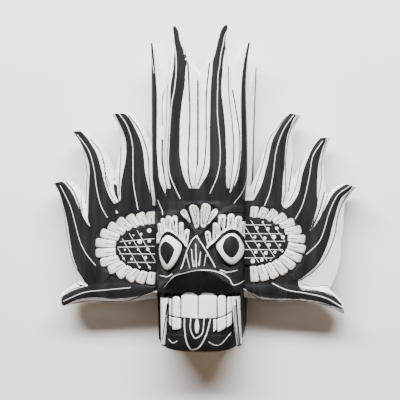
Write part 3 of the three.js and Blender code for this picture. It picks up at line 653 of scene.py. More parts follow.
def face_lift(x, y):
    flat = np.zeros_like(x)
    brows = [dome(x, y, form) for form in BROWS]
    eyes = [dome(x, y, form) for form in EYES]
    lift = flat
    for form in [*brows, *eyes, nose_lift(x, y), snout_lift(x, y)]:
        lift = round_max(lift, form, 0.6)
    lift = lift - round_max(flat, flat, 0.6)
    near = (y > -80) & (y < 0)
    xs, ys = x[near], y[near]
    detail = np.zeros_like(xs)
    for points in BROW_ARCS:
        detail = np.maximum(detail, band(points, xs, ys, 3.2, 2.2))
    for points in CROSS_BANDS:
        detail = np.maximum(detail, band(points, xs, ys, 1.7, 1.2))
    for points in LIDS:
        detail = np.maximum(detail, band(points, xs, ys, 1.6, 1.4))
    for base, tip, base_half, tip_half, _ in BROW_PETALS:
        detail = np.maximum(detail, 0.9 * ease(inside_leaf(base, tip, base_half, tip_half, xs, ys)[0] / 1.1))
    for points, _ in FOREHEAD_PETALS:
        detail = np.maximum(detail, 0.9 * ease(inside_shape(points, xs, ys) / 1.1))
    hollow = ease(1 - np.hypot((xs - 2) / 14, (ys + 24) / 13)) * 2.6
    socket = np.zeros_like(xs)
    for points in SCLERAS:
        outside = -inside_shape(points, xs, ys)
        socket = np.maximum(socket, 1.8 * np.exp(-((outside - 1.6) / 1.5) ** 2))
    lift[near] += detail - hollow - np.where(detail > 0.3, 0.3, 1) * socket
    inside = (y < MOUTH["top"]) & (y > MOUTH["bottom"]) & (np.abs(x) < MOUTH["half"])
    return lift - MOUTH["depth"] * inside


# The face block

def make_block_body():
    def place(u, v, behind):
        row = v * (FACE_ROWS + CROWN_ROWS)
        even = mix(-RIM_GIRTH, RIM_GIRTH, u)
        depth = np.where(behind, 0, on_block(even, REAR_FOOT + 0 * u, 0)[1])
        foot = (REAR_FOOT - FRONT_FOOT_DROP * clamp(depth / FACE_DEPTH)
                + FOOT_CURVE * (on_block(even, REAR_FOOT + 0 * u, 0)[0] / FOOT_HALF) ** 2)
        level = np.where(row < FACE_ROWS, mix(foot, CROWN_FOOT, row / FACE_ROWS),
                         mix(CROWN_FOOT, crown_tip(even), (row - FACE_ROWS) / CROWN_ROWS))
        y = level - ridge_droop(on_block(even, level, 0)[0], level)
        lift = crown_ridge(even, y)[0] * clamp((y - CROWN_FOOT) / RIDGE_FADE)
        x, z = on_block(even, y, lift)
        on_face = y < CROWN_FOOT
        z = z + np.where(on_face, face_lift(x, y), 0) * ease((CROWN_FOOT + 3 - y) / 5)
        rim = on_block(RIM_GIRTH + 0 * y, y, 0)[0]
        return np.column_stack((np.where(behind, mix(-rim, rim, u), x), y, np.where(behind, 0, z)))
    return carve("face_block_paintwork", BLOCK_COLUMNS, FACE_ROWS + CROWN_ROWS, place)


def make_hollow():
    floor = REAR_FOOT + CHIN_WALL
    ceiling = CROWN_TOP + OVERRUN

    def place(u, v, behind):
        y = mix(floor, ceiling, v)
        wall = mix(SIDE_WALL, TOP_WALL, v)
        x, z = on_block(mix(-RIM_GIRTH, RIM_GIRTH, u), y, 0, wall)
        rim = on_block(RIM_GIRTH + 0 * y, y, 0, wall)[0]
        return np.column_stack((np.where(behind, mix(-rim, rim, u), x), y, np.where(behind, -OVERRUN, z)))
    return carve("hollow", 60, 60, place)


def make_crown_cut(left, right, cut):
    top = max(left["tip"], right["tip"]) + OVERRUN
    middle = valley_girth(left, right, np.array(float(cut["bottom"])))

    def place(u, v, behind):
        w = np.where(behind, 0, 1)
        bottom = cut["bottom"] + CUT_BEVEL * (1 - w)
        y = mix(bottom, top, v)
        left_share = clamp(1 - (y - bottom) / cut["left"])
        right_share = clamp(1 - (y - bottom) / cut["right"])
        start = mix(flame_girth(left, y, 0.5), middle - KERF / 2, left_share)
        end = mix(flame_girth(right, y, -0.5), middle + KERF / 2, right_share)
        inside = mix(mix(CUT_INSIDE_SHARE, 1, v), 1, w)
        centre = (start + end) / 2
        girth = mix(mix(centre, start, inside), mix(centre, end, inside), u)
        x, z = on_block(girth, y, mix(-CUT_DEPTH, CUT_OVERRUN, w))
        return np.column_stack((x, y, z))
    return carve("crown_cut", 10, 40, place)


def bite_height(x):
    return np.interp(x, [point[0] for point in BITE], [point[1] for point in BITE])


def under_bite(x):
    return bite_height(x) - TOOTH_GAP


def upper_top(start, end, top, x):
    """The rounded top edge of an upper tooth."""
    far = np.clip(2 * (x - start) / (end - start) - 1, -1, 1)
    return top - 3.4 * np.abs(far) ** 3


def lower_bottom(start, end, left, right, x):
    """The worn slanting bottom edge of a lower tooth."""
    share = clamp((x - start) / (end - start))
    return mix(left, right, share) + 1.2 * np.abs(2 * share - 1) ** 4


def make_tooth(start, end, low, high):
    def place(u, v, behind):
        x = mix(start + TOOTH_GAP / 2, end - TOOTH_GAP / 2, u)
        y = mix(low(x), high(x), v)
        crowned = 2.5 - 0.9 * (2 * u - 1) ** 4 - 0.5 * (2 * v - 1) ** 6
        lift = np.where(behind, -TOOTH_ROOT, crowned) - MOUTH["depth"]
        return np.column_stack((x, y, front_height(x, y) + lift))
    return carve("tooth", 14, 24, place)


def make_teeth():
    row = []
    for start, end, top in UPPER_TEETH:
        row.append(make_tooth(start, end, bite_height, partial(upper_top, start, end, top)))
    for start, end, left, right in LOWER_TEETH:
        row.append(make_tooth(start, end, partial(lower_bottom, start, end, left, right), under_bite))
    return row


def make_tongue():
    def place(u, v, behind):
        half = TONGUE["half"] * np.sqrt(1 - (1 - clamp(TONGUE["tip"] + v * TONGUE["taper"])) ** 2)
        x = TONGUE["x"] + mix(-half, half, u)
        y = mix(TONGUE["bottom"], TONGUE["top"], v)
        proud = TONGUE["proud"] * (1 - (2 * u - 1) ** 2) - MOUTH["depth"]
        lift = np.where(behind, -TOOTH_ROOT - MOUTH["depth"], proud)
        return np.column_stack((x, y, front_height(x, y) + lift))
    return carve("tongue", 30, 34, place)


def make_fang(top, bottom, top_width, bottom_width):
    def place(u, v, behind):
        width = mix(bottom_width, top_width, v)
        x = mix(bottom[0], top[0], v) + mix(-0.5, 0.5, u) * width
        y = mix(bottom[1], top[1], v)
        lift = np.where(behind, -TOOTH_ROOT, 2.5 - 0.9 * (2 * u - 1) ** 4)
        return np.column_stack((x, y, front_height(x, y) + lift))
    return carve("fang", 10, 50, place)


def make_face_block():
    body = make_block_body()
    mouth = [*make_teeth(), make_tongue(), *[make_fang(**fang) for fang in FANGS]]
    fit_together(body, mouth, "UNION")
    cutters = [make_hollow()]
    cutters += [make_crown_cut(CROWN_FLAMES[i], CROWN_FLAMES[i + 1], cut) for i, cut in enumerate(CROWN_CUTS)]
    return fit_together(body, cutters, "DIFFERENCE")


# The wings

def along_spine(spine, share):
    return np.column_stack([through_four([point[axis] for point in spine], share) for axis in (0, 1)])


def follow_flame(flame, x, y):
    """How far up a flame a point is, and how far to the right of its spine."""
    shares = np.linspace(-ROOT, 1.08, 160)
    run, share, to_the_left = nearest_run(along_spine(flame["spine"], shares), x, y)
    return shares[run] + share * (shares[1] - shares[0]), -to_the_left


def flame_outline(flame, side):
    """Both edges of a flame, whose outer corner reaches furthest at its tip."""
    shares = np.linspace(-ROOT, 1, 34)
    middle = along_spine(flame["spine"], shares)
    ahead = along_spine(flame["spine"], shares + 0.01) - along_spine(flame["spine"], shares - 0.01)
    heading = ahead / np.hypot(ahead[:, 0], ahead[:, 1])[:, None]
    half = between_four(flame["width"], shares) / 2
    right = np.column_stack((heading[:, 1], -heading[:, 0]))
    lean = heading * (side * flame["lean"] * clamp(3 * shares - 2) ** 2)[:, None]
    left_edge = middle - (right + lean) * (half + between_four(flame["left"], shares))[:, None]
    right_edge = middle + (right + lean) * (half + between_four(flame["right"], shares))[:, None]
    return [tuple(p) for p in left_edge] + [tuple(p) for p in right_edge[::-1]]


def oval(form, border):
    angles = np.linspace(0, 2 * math.pi, 72, endpoint=False)
    across, along = form["across"] + border, form["along"] + border
    return [(form["x"] + across * math.cos(a), form["y"] + along * math.sin(a)) for a in angles]


def inside_oval(form, x, y):
    """Roughly how far inside an oval a point is."""
    reach = np.hypot((x - form["x"]) / form["across"], (y - form["y"]) / form["along"])
    size = np.hypot((x - form["x"]) / form["across"] ** 2, (y - form["y"]) / form["along"] ** 2)
    return (1 - reach) * reach / np.maximum(1e-6, size)


def round_the_oval(form, side, share):
    """A point on the outer half of an oval, by its share of the way from top to bottom."""
    angle = np.linspace(math.pi / 2, -math.pi / 2, 400)
    path = np.column_stack((side * form["across"] * np.cos(angle), form["along"] * np.sin(angle)))
    walked = np.concatenate(([0], np.cumsum(np.hypot(*np.diff(path, axis=0).T))))
    wanted = share * walked[-1]
    return (form["x"] + np.interp(wanted, walked, path[:, 0]),
            form["y"] + np.interp(wanted, walked, path[:, 1])), walked[-1]


def ring_petals(wing, x, y):
    """Distance inside the nearest petal of a wing's ring, and its own place across and along."""
    best = np.full_like(x, -50.0)
    across = np.full_like(x, 40.0)
    share = np.zeros_like(x)
    for k in range(PETALS):
        base, inner = round_the_oval(wing["disc"], wing["side"], (k + 0.5) / PETALS)
        tip, outer = round_the_oval(wing["ring"], wing["side"], (k + 0.5) / PETALS)
        start = (mix(base[0], tip[0], 0.06), mix(base[1], tip[1], 0.06))
        foot_half, tip_half = inner / PETALS / 2 - 0.25, outer / PETALS / 2 - 0.75
        inside, off, up = inside_leaf(start, tip, foot_half, tip_half, x, y, 0.55)
        nearer = inside > best
        best = np.where(nearer, inside, best)
        across = np.where(nearer, off, across)
        share = np.where(nearer, up, share)
    return best, across, share


def wing_height(wing, x, y):
    """The carved front of a wing, how far inside white paint each point is, and how much its white is greyed,
    more the nearer it lies to the ring's border.
    """
    high = np.full_like(x, float(WING_EDGE))
    white = np.full_like(x, 6.0)
    for flame in wing["flames"]:
        up, off = follow_flame(flame, x, y)
        half = between_four(flame["width"], up) / 2
        margin = np.where(off < 0, between_four(flame["left"], up), between_four(flame["right"], up))
        beyond = -inside_shape(flame["black"], x, y)
        slope = np.maximum(0.5, beyond + half + margin - np.abs(off))
        top = WING_TOP + 0.8 * (1 - clamp(np.abs(off) / half) ** 2)
        high = np.maximum(high, np.where(beyond < 0, top, mix(WING_TOP, WING_EDGE, clamp(beyond / slope))))
        white = np.minimum(white, beyond)
    for patch in wing["brushed"]:
        white = np.minimum(white, 0.3 - inside_shape(patch, x, y))
    ring = wing["ring"]
    border = dict(ring, across=ring["across"] + BORDER, along=ring["along"] + BORDER)
    plate, inside_ring, inside_disc = [inside_oval(form, x, y) for form in (border, ring, wing["disc"])]
    petals = ring_petals(wing, x, y)[0]
    high = np.where(plate > 0, np.maximum(high, WING_TOP - 0.6 + 0.3 * ease(plate / 3)), high)
    high = np.where(inside_ring > -1.2, WING_TOP + RING_RISE * ease(petals / 1.2 + 0.3), high)
    high = np.where(inside_disc > 0, WING_TOP + DISC_RISE * ease(inside_disc / 1.2 + 0.2), high)
    border_white = np.where(plate > BORDER - 1.8, -3.0, np.minimum(white, 1.5 - plate))
    white = np.where(plate > 1.5, np.where(white > 0, border_white, white), white)
    white = np.where((inside_ring > -1.2) & (inside_disc < 1), petals, white)
    white = np.where(inside_disc > 0, -3.0, white)
    for dot_x, dot_y, size in wing["hatch"]["dots"]:
        dot = size / 2 - np.hypot(x - dot_x, y - dot_y)
        white = np.where(inside_disc > 0.8, np.maximum(white, dot), white)
    # The third value greys the white: fully on the ring's border, fading over 14 mm inwards across the petals
    # and outwards over the flames.
    return high, white, clamp(1 + np.minimum(plate, -inside_ring) / 14)


def wing_lines(wing, x, y):
    """The brushed black and white lines of a wing, and the ones that slant across its disc."""
    ink, chalk, slant = Lines(x.size), Lines(x.size), Lines(x.size)
    inside_ring = inside_oval(wing["ring"], x, y)
    inside_disc = inside_oval(wing["disc"], x, y)
    off_ring = inside_ring < -1
    for points, width in wing["ink"]:
        ink.add(near_stroke(points, x, y), width / 2, off_ring)
    for points, width in wing["chalk"]:
        chalk.add(near_stroke(points, x, y), width / 2, off_ring)
    petals, across, share = ring_petals(wing, x, y)
    ink.add(across, 0.36, (petals > 0.3) & (inside_disc < 0.2) & (share < 0.55))
    on_disc = inside_disc > 1.8
    for height, tilt in wing["hatch"]["level"]:
        chalk.add(y - height - tilt * (x - wing["disc"]["x"]), 0.24, on_disc)
    slope = math.radians(wing["hatch"]["slope"])
    for start in wing["hatch"]["slants"]:
        slant.add((x - start) * math.sin(slope) + (y - wing["disc"]["y"]) * math.cos(slope), 0.24, on_disc)
    return ink, chalk, slant


class Lines:
    """Painted lines over a piece: for each point, its signed place in the nearest line, from -1 to
    1 inside it, and how far outside that line it is."""

    def __init__(self, count):
        self.place = np.full(count, 40.0)
        self.gap = np.full(count, 40.0)

    def add(self, distance, half, where=None):
        gap = np.abs(distance) - half
        better = gap < self.gap
        if where is not None:
            better &= where
        self.place = np.where(better, distance / half, self.place)
        self.gap = np.where(better, gap, self.gap)

    def stroke(self, points, width, x, y):
        self.add(near_stroke(points, x, y), width / 2)


def make_wing(wing):
    outlines = [flame_outline(flame, wing["side"]) for flame in wing["flames"]]
    outlines += [oval(wing["ring"], BORDER), wing["web"]]
    boards = [board("outline", outline, 0, SAWN_HEIGHT) for outline in outlines]
    sawn = fit_together(boards[0], boards[1:], "UNION")
    low_x, low_y, _ = points_of(sawn.data).min(axis=0) - 1
    high_x, high_y, _ = points_of(sawn.data).max(axis=0) + 1
    joint = wing["side"] * (HALF_WIDTH - INSET)
    low_x, high_x = (low_x, joint) if wing["side"] < 0 else (joint, high_x)

    def place(u, v, behind):
        x, y = mix(low_x, high_x, u), mix(low_y, high_y, v)
        return np.column_stack((x, y, np.where(behind, WING_BACK, wing_height(wing, x, y)[0])))
    columns, rows = int((high_x - low_x) / WING_GRAIN), int((high_y - low_y) / WING_GRAIN)
    piece = carve(wing["name"] + "_paintwork", columns, rows, place)
    return fit_together(piece, [sawn], "INTERSECT")


def block_socket():
    """The block's plain body, grown by the glue gap, for cutting the wings to it."""
    def place(u, v, behind):
        even = mix(-RIM_GIRTH, RIM_GIRTH, u)
        y = mix(REAR_FOOT - 30, CROWN_TOP, v)
        x, z = on_block(even, y, GAP)
        rim = on_block(RIM_GIRTH + 0 * y, y, GAP)[0]
        return np.column_stack((np.where(behind, mix(-rim, rim, u), x), y, np.where(behind, -1, z)))
    return carve("socket", 80, 40, place)


# Paint

MIDDLE_FLAMES = [
    ((-22.7, 147.2), (-23.2, 139.5), (-22.7, 130.4), (-21.9, 121.3), (-22.1, 112.3), (-23.3, 103.2),
     (-24.8, 94.2), (-25.3, 85.1), (-25.6, 71.5), (-26.2, 57.9), (-27.3, 44.3), (-27.8, 30.7),
     (-27.6, 21.7), (-26.7, 12.6), (-24.4, 1.7), (-21.2, -6.4), (-5.6, -6.5), (-7.5, 0.8), (-11.1, 8.0),
     (-13.8, 17.1), (-15.7, 28.0), (-16.1, 39.7), (-15.9, 53.3), (-15.7, 62.4), (-14.8, 71.4),
     (-13.8, 80.5), (-12.7, 87.7), (-11.7, 94.0), (-11.3, 103.1), (-10.8, 110.3), (-9.7, 115.7),
     (-12.0, 123.0), (-14.8, 129.4), (-16.6, 134.9), (-18.0, 143.0), (-20.7, 147.2)),
    ((23.9, 147.3), (20.7, 142.4), (18.5, 134.3), (17.1, 128.0), (15.3, 120.8), (13.5, 114.5),
     (12.9, 105.5), (12.1, 96.5), (11.7, 87.4), (11.4, 75.7), (11.2, 62.2), (11.0, 48.6), (11.2, 35.1),
     (11.2, 26.0), (10.8, 18.8), (8.9, 12.5), (4.4, 5.3), (0.8, -1.0), (1.7, -6.5), (25.3, -6.5),
     (26.0, 6.2), (26.0, 17.0), (26.2, 28.7), (25.7, 39.5), (25.3, 51.2), (24.4, 62.1), (23.5, 71.1),
     (22.3, 80.1), (21.5, 89.1), (21.7, 96.4), (22.4, 105.4), (22.6, 111.7), (23.5, 119.8),
     (25.0, 127.0), (26.0, 134.2), (26.8, 141.4), (26.6, 147.2)),
]
CROWN_INK = [
    (((-8.8, 114.8), (-8.1, 103.0), (-7.5, 89.5), (-7.0, 71.4), (-7.2, 53.3), (-8.1, 35.2), (-8.2, 21.6),
      (-7.0, 8.0), (-3.8, -2.8)), 1.2),
    (((-0.6, 98.4), (-0.4, 84.9), (0.0, 71.3), (0.3, 53.2), (0.3, 35.1), (-0.6, 21.6), (-2.0, 9.8),
      (-2.4, -1.0)), 0.7),
    (((11.2, 120.0), (9.9, 111.8), (8.7, 100.1), (7.8, 91.1), (7.3, 75.7), (7.4, 62.2), (7.6, 48.6),
      (7.1, 35.1), (6.2, 24.3), (4.4, 15.2), (0.8, 3.5)), 1.1),
    (((-30.8, 89.7), (-32.2, 83.4), (-32.6, 74.3), (-32.6, 58.0)), 0.7),
    (((-27.1, 95.1), (-28.0, 85.2), (-28.0, 71.6), (-28.5, 53.4), (-29.4, 35.3), (-28.9, 21.7)), 0.8),
    (((-32.6, 44.4), (-32.8, 30.8), (-32.2, 21.7), (-30.3, 9.9), (-26.7, -1.0)), 1.3),
    (((26.8, 113.4), (26.6, 98.1), (27.1, 87.3), (28.4, 75.5), (30.3, 63.8), (31.2, 53.0), (32.1, 42.2),
      (32.1, 30.5), (31.2, 18.8), (29.4, 8.0), (28.4, -1.1)), 1.0),
    (((30.7, 89.0), (32.5, 77.3), (34.3, 63.8), (35.7, 51.2), (36.1, 36.8), (35.5, 25.9), (34.3, 16.9),
      (32.5, 7.9), (30.7, -1.1)), 1.0),
]
CROWN_CHALK = [
    (((-22.1, 144.9), (-20.9, 134.9), (-19.3, 125.8), (-18.4, 116.8), (-18.4, 105.9), (-19.1, 96.8),
      (-20.2, 87.8), (-22.1, 78.7), (-23.2, 67.0), (-23.9, 56.1), (-24.4, 44.3), (-24.8, 35.3),
      (-25.1, 26.2), (-24.4, 17.1), (-22.1, 8.1), (-18.4, -1.9), (-15.7, -8.3)), 0.8),
    (((25.3, 144.1), (22.6, 137.8), (21.2, 129.7), (19.4, 120.7), (18.5, 111.7), (17.1, 102.7),
      (16.9, 93.7), (16.7, 84.7), (16.7, 71.1), (17.1, 62.1), (18.0, 53.1), (18.9, 42.3), (19.4, 30.5),
      (18.9, 21.5), (17.6, 14.3), (15.3, 6.2), (11.2, -3.7)), 0.6),
    (((41.4, 100.8), (41.1, 35.4), (40.7, 9), (38.4, -2.8), (32.6, -12.8)), 0.5),
    (((-37.4, -10.4), (-30.6, -22.8)), 0.7),
    (((-41.5, 124.5), (-38.9, 106.1)), 0.6),
]
FACE_CHALK = [
    (((-0.5, -42.2), (-5.4, -47), (-9.6, -56), (-10.2, -57.9), (-14.2, -71.4)), 0.9),
    (((-9.9, -58.5), (-6, -70.1)), 0.6),
    (((0.1, -42.8), (7.9, -55.4), (15.8, -69.7)), 0.8),
    (((-4.8, -54.7), (-2.4, -69.1)), 0.8),
    (((-0.9, -49.9), (0.3, -69.1)), 0.8),
    (((3.6, -57.1), (3, -67.9)), 0.7),
    (((8.2, -58.9), (7.2, -68.4)), 0.4),
    (((-30.3, -89), (-20, -78.4), (-11.5, -75.6), (-0.6, -72.9), (8.4, -72.5), (16.2, -73.4), (24.6, -77.2),
      (29.4, -81.3), (31.8, -85.8), (36, -86), (42.5, -82.4)), 0.6),
    (((-34.9, -78.8), (-27.2, -79.3), (-22.4, -76.6)), 0.6),
    (((21.5, -72.9), (27.2, -75), (35, -73.5)), 0.6),
    (((-12.1, -116.4), (-12.1, -126.3), (-10.1, -138.5), (-6.9, -145.1), (-3.5, -145.4), (1.8, -142.3),
      (7.8, -131.4), (11.8, -116.1)), 1.1),
    (((-6.1, -117.2), (-6.5, -126.2), (-3.5, -133.7), (-0.9, -134.4), (4.5, -129.6), (6, -117)), 0.9),
    (((-26.5, -136.5), (-23.1, -139.8), (-19.1, -137.6)), 0.7),
    (((10.3, -138.1), (14.6, -140.6), (20.6, -140.1), (29.3, -130.5)), 0.6),
]
FANG_INK = [
    (((-27.8, -104.3), (-30, -120.6), (-32.8, -136.9)), 1.2),
    (((34.3, -100), (35.2, -116), (36.8, -142)), 1.3),
    (((32.6, -106), (33.6, -125), (35.6, -142)), 0.8),
]


def crown_paint(x, y, z, girth):
    """How far inside white paint each point of the block is, and how much its white is greyed, more towards
    the crown's foot.
    """
    ridge = crown_ridge(girth, y)[1]
    closing = 6 * clamp((8 - y) / 22) ** 1.5
    white = np.where(y > CROWN_FOOT, np.minimum(-ridge - closing, (y - CROWN_FOOT + 2) * 0.5), -3.0)
    # The white greys more towards the crown's foot.
    grime_and_painted_shade = 0.9 * clamp((22 - y) / 26) * (y > CROWN_FOOT)
    middle = ((y > CROWN_FOOT + 3) & (z > FRONT_HEIGHT)
              & (girth > valley_girth(CROWN_FLAMES[1], CROWN_FLAMES[2], y))
              & (girth < valley_girth(CROWN_FLAMES[3], CROWN_FLAMES[4], y)))
    black = [inside_shape(points, x[middle], y[middle]) for points in MIDDLE_FLAMES]
    white[middle] = np.minimum(-np.maximum(*black), (y[middle] - 0.5) * 0.5)
    return white, grime_and_painted_shade


def block_lines(x, y, girth):
    """The brushed black and white lines of the block. The crown's run on the rounded surface."""
    ink, chalk = Lines(x.size), Lines(x.size)
    for lines, strokes in ((ink, CROWN_INK), (chalk, CROWN_CHALK)):
        for points, width in strokes:
            px, py = np.array(points, float).T
            lines.stroke(np.column_stack((front_girth(px, py), py)), width, girth, y)
    for lines, strokes in ((chalk, FACE_CHALK), (ink, FANG_INK)):
        for points, width in strokes:
            lines.stroke(points, width, x, y)
    return ink, chalk


def paint_brows_and_eyes(x, y, white, grime_and_painted_shade, ink):
    face = (y < 0) & (y > MOUTH_ROOF)
    fx, fy = x[face], y[face]
    areas = np.full_like(fx, -3.0)
    slit_lines = Lines(fx.size)
    lid = np.full_like(fx, 40.0)
    for points in LIDS:
        lid = np.where(np.sign(fx - 2) == np.sign(points[0][0]), near_stroke(points, fx, fy), lid)
    for base, tip, base_half, tip_half, slits in BROW_PETALS:
        leaf, across, share = inside_leaf(base, tip, base_half, tip_half, fx, fy)
        areas = np.maximum(areas, np.minimum(leaf, lid - 1.0))
        for slit in slits:
            on_petal = (share > 0.2) & (share < 0.86) & (leaf > 0.2)
            slit_lines.add(across - slit * (0.5 + 0.5 * share), 0.26, on_petal)
    on_lid = (lid > 1.0) & (lid < 3.0)
    areas = np.where(on_lid, np.maximum(areas, np.minimum(lid - 1.0, 3.0 - lid)), areas)
    for points, slits in FOREHEAD_PETALS:
        petal = inside_shape(points, fx, fy)
        areas = np.maximum(areas, petal)
        # Painted shade: the forehead petals under the brow arc are greyed brown all over.
        grime_and_painted_shade[face] = np.where(petal > -0.5, 0.55, grime_and_painted_shade[face])
        for slit in slits:
            slit_lines.add(near_stroke(slit, fx, fy), 0.3, petal > 0.2)
    ink.place[face] = np.where(slit_lines.gap < ink.gap[face], slit_lines.place, ink.place[face])
    ink.gap[face] = np.minimum(slit_lines.gap, ink.gap[face])
    for sclera, pupil in zip(SCLERAS, PUPILS):
        ball = np.minimum(inside_shape(sclera, fx, fy), -inside_shape(pupil, fx, fy))
        areas = np.maximum(areas, ball)
        # Painted shade: the eyeballs are greyed towards their lower edge.
        grime_and_painted_shade[face] = np.where(ball > -0.5, 0.5 * clamp((-58 - fy) / 9), grime_and_painted_shade[face])
    white[face] = np.maximum(white[face], areas)


def mouth_white(x, y):
    """How far inside the nearest tooth, fang or mark on the tongue each point is."""
    areas = [1.9 - np.hypot((x + 0.5), (y + 123.6) * 0.28)]
    for start, end, top in UPPER_TEETH:
        sides = np.minimum(x - start, end - x) - 0.55
        ends = np.minimum(y - bite_height(x) - 0.15, upper_top(start, end, top, x) - y)
        areas.append(np.minimum(sides, ends))
    for start, end, left, right in LOWER_TEETH:
        sides = np.minimum(x - start, end - x) - 0.45
        ends = np.minimum(y - lower_bottom(start, end, left, right, x), bite_height(x) - 1.1 - y)
        areas.append(np.minimum(sides, ends))
    for fang in FANGS:
        share = clamp((y - fang["bottom"][1]) / (fang["top"][1] - fang["bottom"][1]))
        middle = mix(fang["bottom"][0], fang["top"][0], share)
        half = mix(fang["bottom_width"], fang["top_width"], share) / 2
        ends = np.minimum(y + 141.5, fang["top"][1] - y)
        areas.append(np.minimum(half - np.abs(x - middle) + 0.3, ends))
    return np.max(areas, axis=0)


def leave_cuts(mesh):
    """Bare wood on the back and in the hollow, plain white on the saw cuts between the flames."""
    x, y, z = np.array([polygon.center for polygon in mesh.polygons]).T
    hollow_foot = REAR_FOOT + CHIN_WALL
    wall = mix(SIDE_WALL, TOP_WALL, clamp((y - hollow_foot) / (CROWN_TOP + OVERRUN - hollow_foot)))
    raw = (section_reach(x, y, z, wall) < 1.02) | (z < 0.5)
    cut = ~raw & (section_reach(x, y, z, 0) < 0.985) & (y > 60)
    black = [inside_shape(points, x[cut], y[cut]) for points in MIDDLE_FLAMES]
    cut[cut] = np.maximum(*black) < 0
    choice = np.where(raw, 2, np.where(cut, 1, 0))
    mesh.polygons.foreach_set("material_index", choice.astype(np.int32))


def paint_block(piece):
    x, y, z = points_of(piece.data).T
    girth = girth_at(x, y, z)
    white, grime_and_painted_shade = crown_paint(x, y, z, girth)
    ink, chalk = block_lines(x, y, girth)
    paint_brows_and_eyes(x, y, white, grime_and_painted_shade, ink)
    mouth = (y <= MOUTH_ROOF) & (z > FRONT_HEIGHT)
    white = np.where(mouth, np.maximum(white, mouth_white(x, y)), white)
    keep_fields(piece.data, white, grime_and_painted_shade, ink, chalk, Lines(x.size))
    leave_cuts(piece.data)


def paint_wing(piece, wing):
    mesh = piece.data
    x, y, z = points_of(mesh).T
    keep_fields(mesh, *wing_height(wing, x, y)[1:], *wing_lines(wing, x, y))
    normals = np.array([polygon.normal for polygon in mesh.polygons])
    upright = np.where(np.abs(normals[:, 2]) < 0.2, 1, 0)
    mesh.polygons.foreach_set("material_index", np.where(normals[:, 2] < -0.5, 2, upright).astype(np.int32))


def keep_fields(mesh, white, grime_and_painted_shade, ink, chalk, slant):
    fields = [("white_paint", white), ("grime_and_painted_shade", grime_and_painted_shade)]
    for kind, lines in (("ink", ink), ("chalk", chalk), ("slant", slant)):
        fields += [(kind + "_place", lines.place), (kind + "_gap", lines.gap)]
    for name, values in fields:
        field = mesh.attributes.new(name, "FLOAT", "POINT")
        field.data.foreach_set("value", np.clip(values, -40, 40).astype(np.float32))


# Finishes

class Finish:
    """A material being mixed: short words for the nodes that every finish uses."""

    def __init__(self, name, roughness, specular=0.35):
        self.material = bpy.data.materials.new(name)
        self.material.use_nodes = True
        self.tree = self.material.node_tree
        self.shader = self.tree.nodes["Principled BSDF"]
        self.shader.inputs["Roughness"].default_value = roughness
        self.shader.inputs["Specular IOR Level"].default_value = specular
        self.place = self.tree.nodes.new("ShaderNodeTexCoord").outputs["Object"]

    def join(self, socket, value):
        if isinstance(value, bpy.types.NodeSocket):
            self.tree.links.new(value, socket)
        else:
            socket.default_value = value

    def sum(self, operation, *values, clamped=False):
        node = self.tree.nodes.new("ShaderNodeMath")
        node.operation = operation
        node.use_clamp = clamped
        for socket, value in zip(node.inputs, values):
            self.join(socket, value)
        return node.outputs[0]

    def field(self, name):
        node = self.tree.nodes.new("ShaderNodeAttribute")
        node.attribute_name = name
        return node.outputs["Fac"]

    def noise(self, scale, detail=3.0, stretch=(1, 1, 1)):
        turned = self.tree.nodes.new("ShaderNodeMapping")
        turned.inputs["Scale"].default_value = stretch
        self.join(turned.inputs["Vector"], self.place)
        node = self.tree.nodes.new("ShaderNodeTexNoise")
        node.inputs["Scale"].default_value = scale
        node.inputs["Detail"].default_value = detail
        self.join(node.inputs["Vector"], turned.outputs[0])
        return node.outputs["Fac"]

    def ramp(self, value, low, high, start=0.0, end=1.0):
        node = self.tree.nodes.new("ShaderNodeMapRange")
        self.join(node.inputs["Value"], value)
        for name, number in (("From Min", low), ("From Max", high), ("To Min", start), ("To Max", end)):
            self.join(node.inputs[name], number)
        return node.outputs[0]

    def blend(self, share, under, over):
        node = self.tree.nodes.new("ShaderNodeMix")
        node.data_type = "RGBA"
        self.join(node.inputs[0], share)
        self.join(node.inputs[6], under)
        self.join(node.inputs[7], over)
        return node.outputs[2]

    def bump(self, height, strength, distance):
        node = self.tree.nodes.new("ShaderNodeBump")
        node.inputs["Strength"].default_value = strength
        node.inputs["Distance"].default_value = distance
        self.join(node.inputs["Height"], height)
        return node.outputs[0]


BLACK = (0.008, 0.0081, 0.0092, 1)
BLACK_WORN = (0.017, 0.017, 0.019, 1)
WHITE = (0.84, 0.84, 0.855, 1)
WHITE_THIN = (0.60, 0.59, 0.58, 1)
# Brownish grey laid over the white: painted shade on the forehead petals and the lower eyeballs, and a
# greying towards the crown's foot and round the wings' rings.
GRIME_AND_PAINTED_SHADE = (0.36, 0.32, 0.28, 1)
WOOD = (0.52, 0.38, 0.24, 1)
WOOD_DARK = (0.36, 0.25, 0.15, 1)


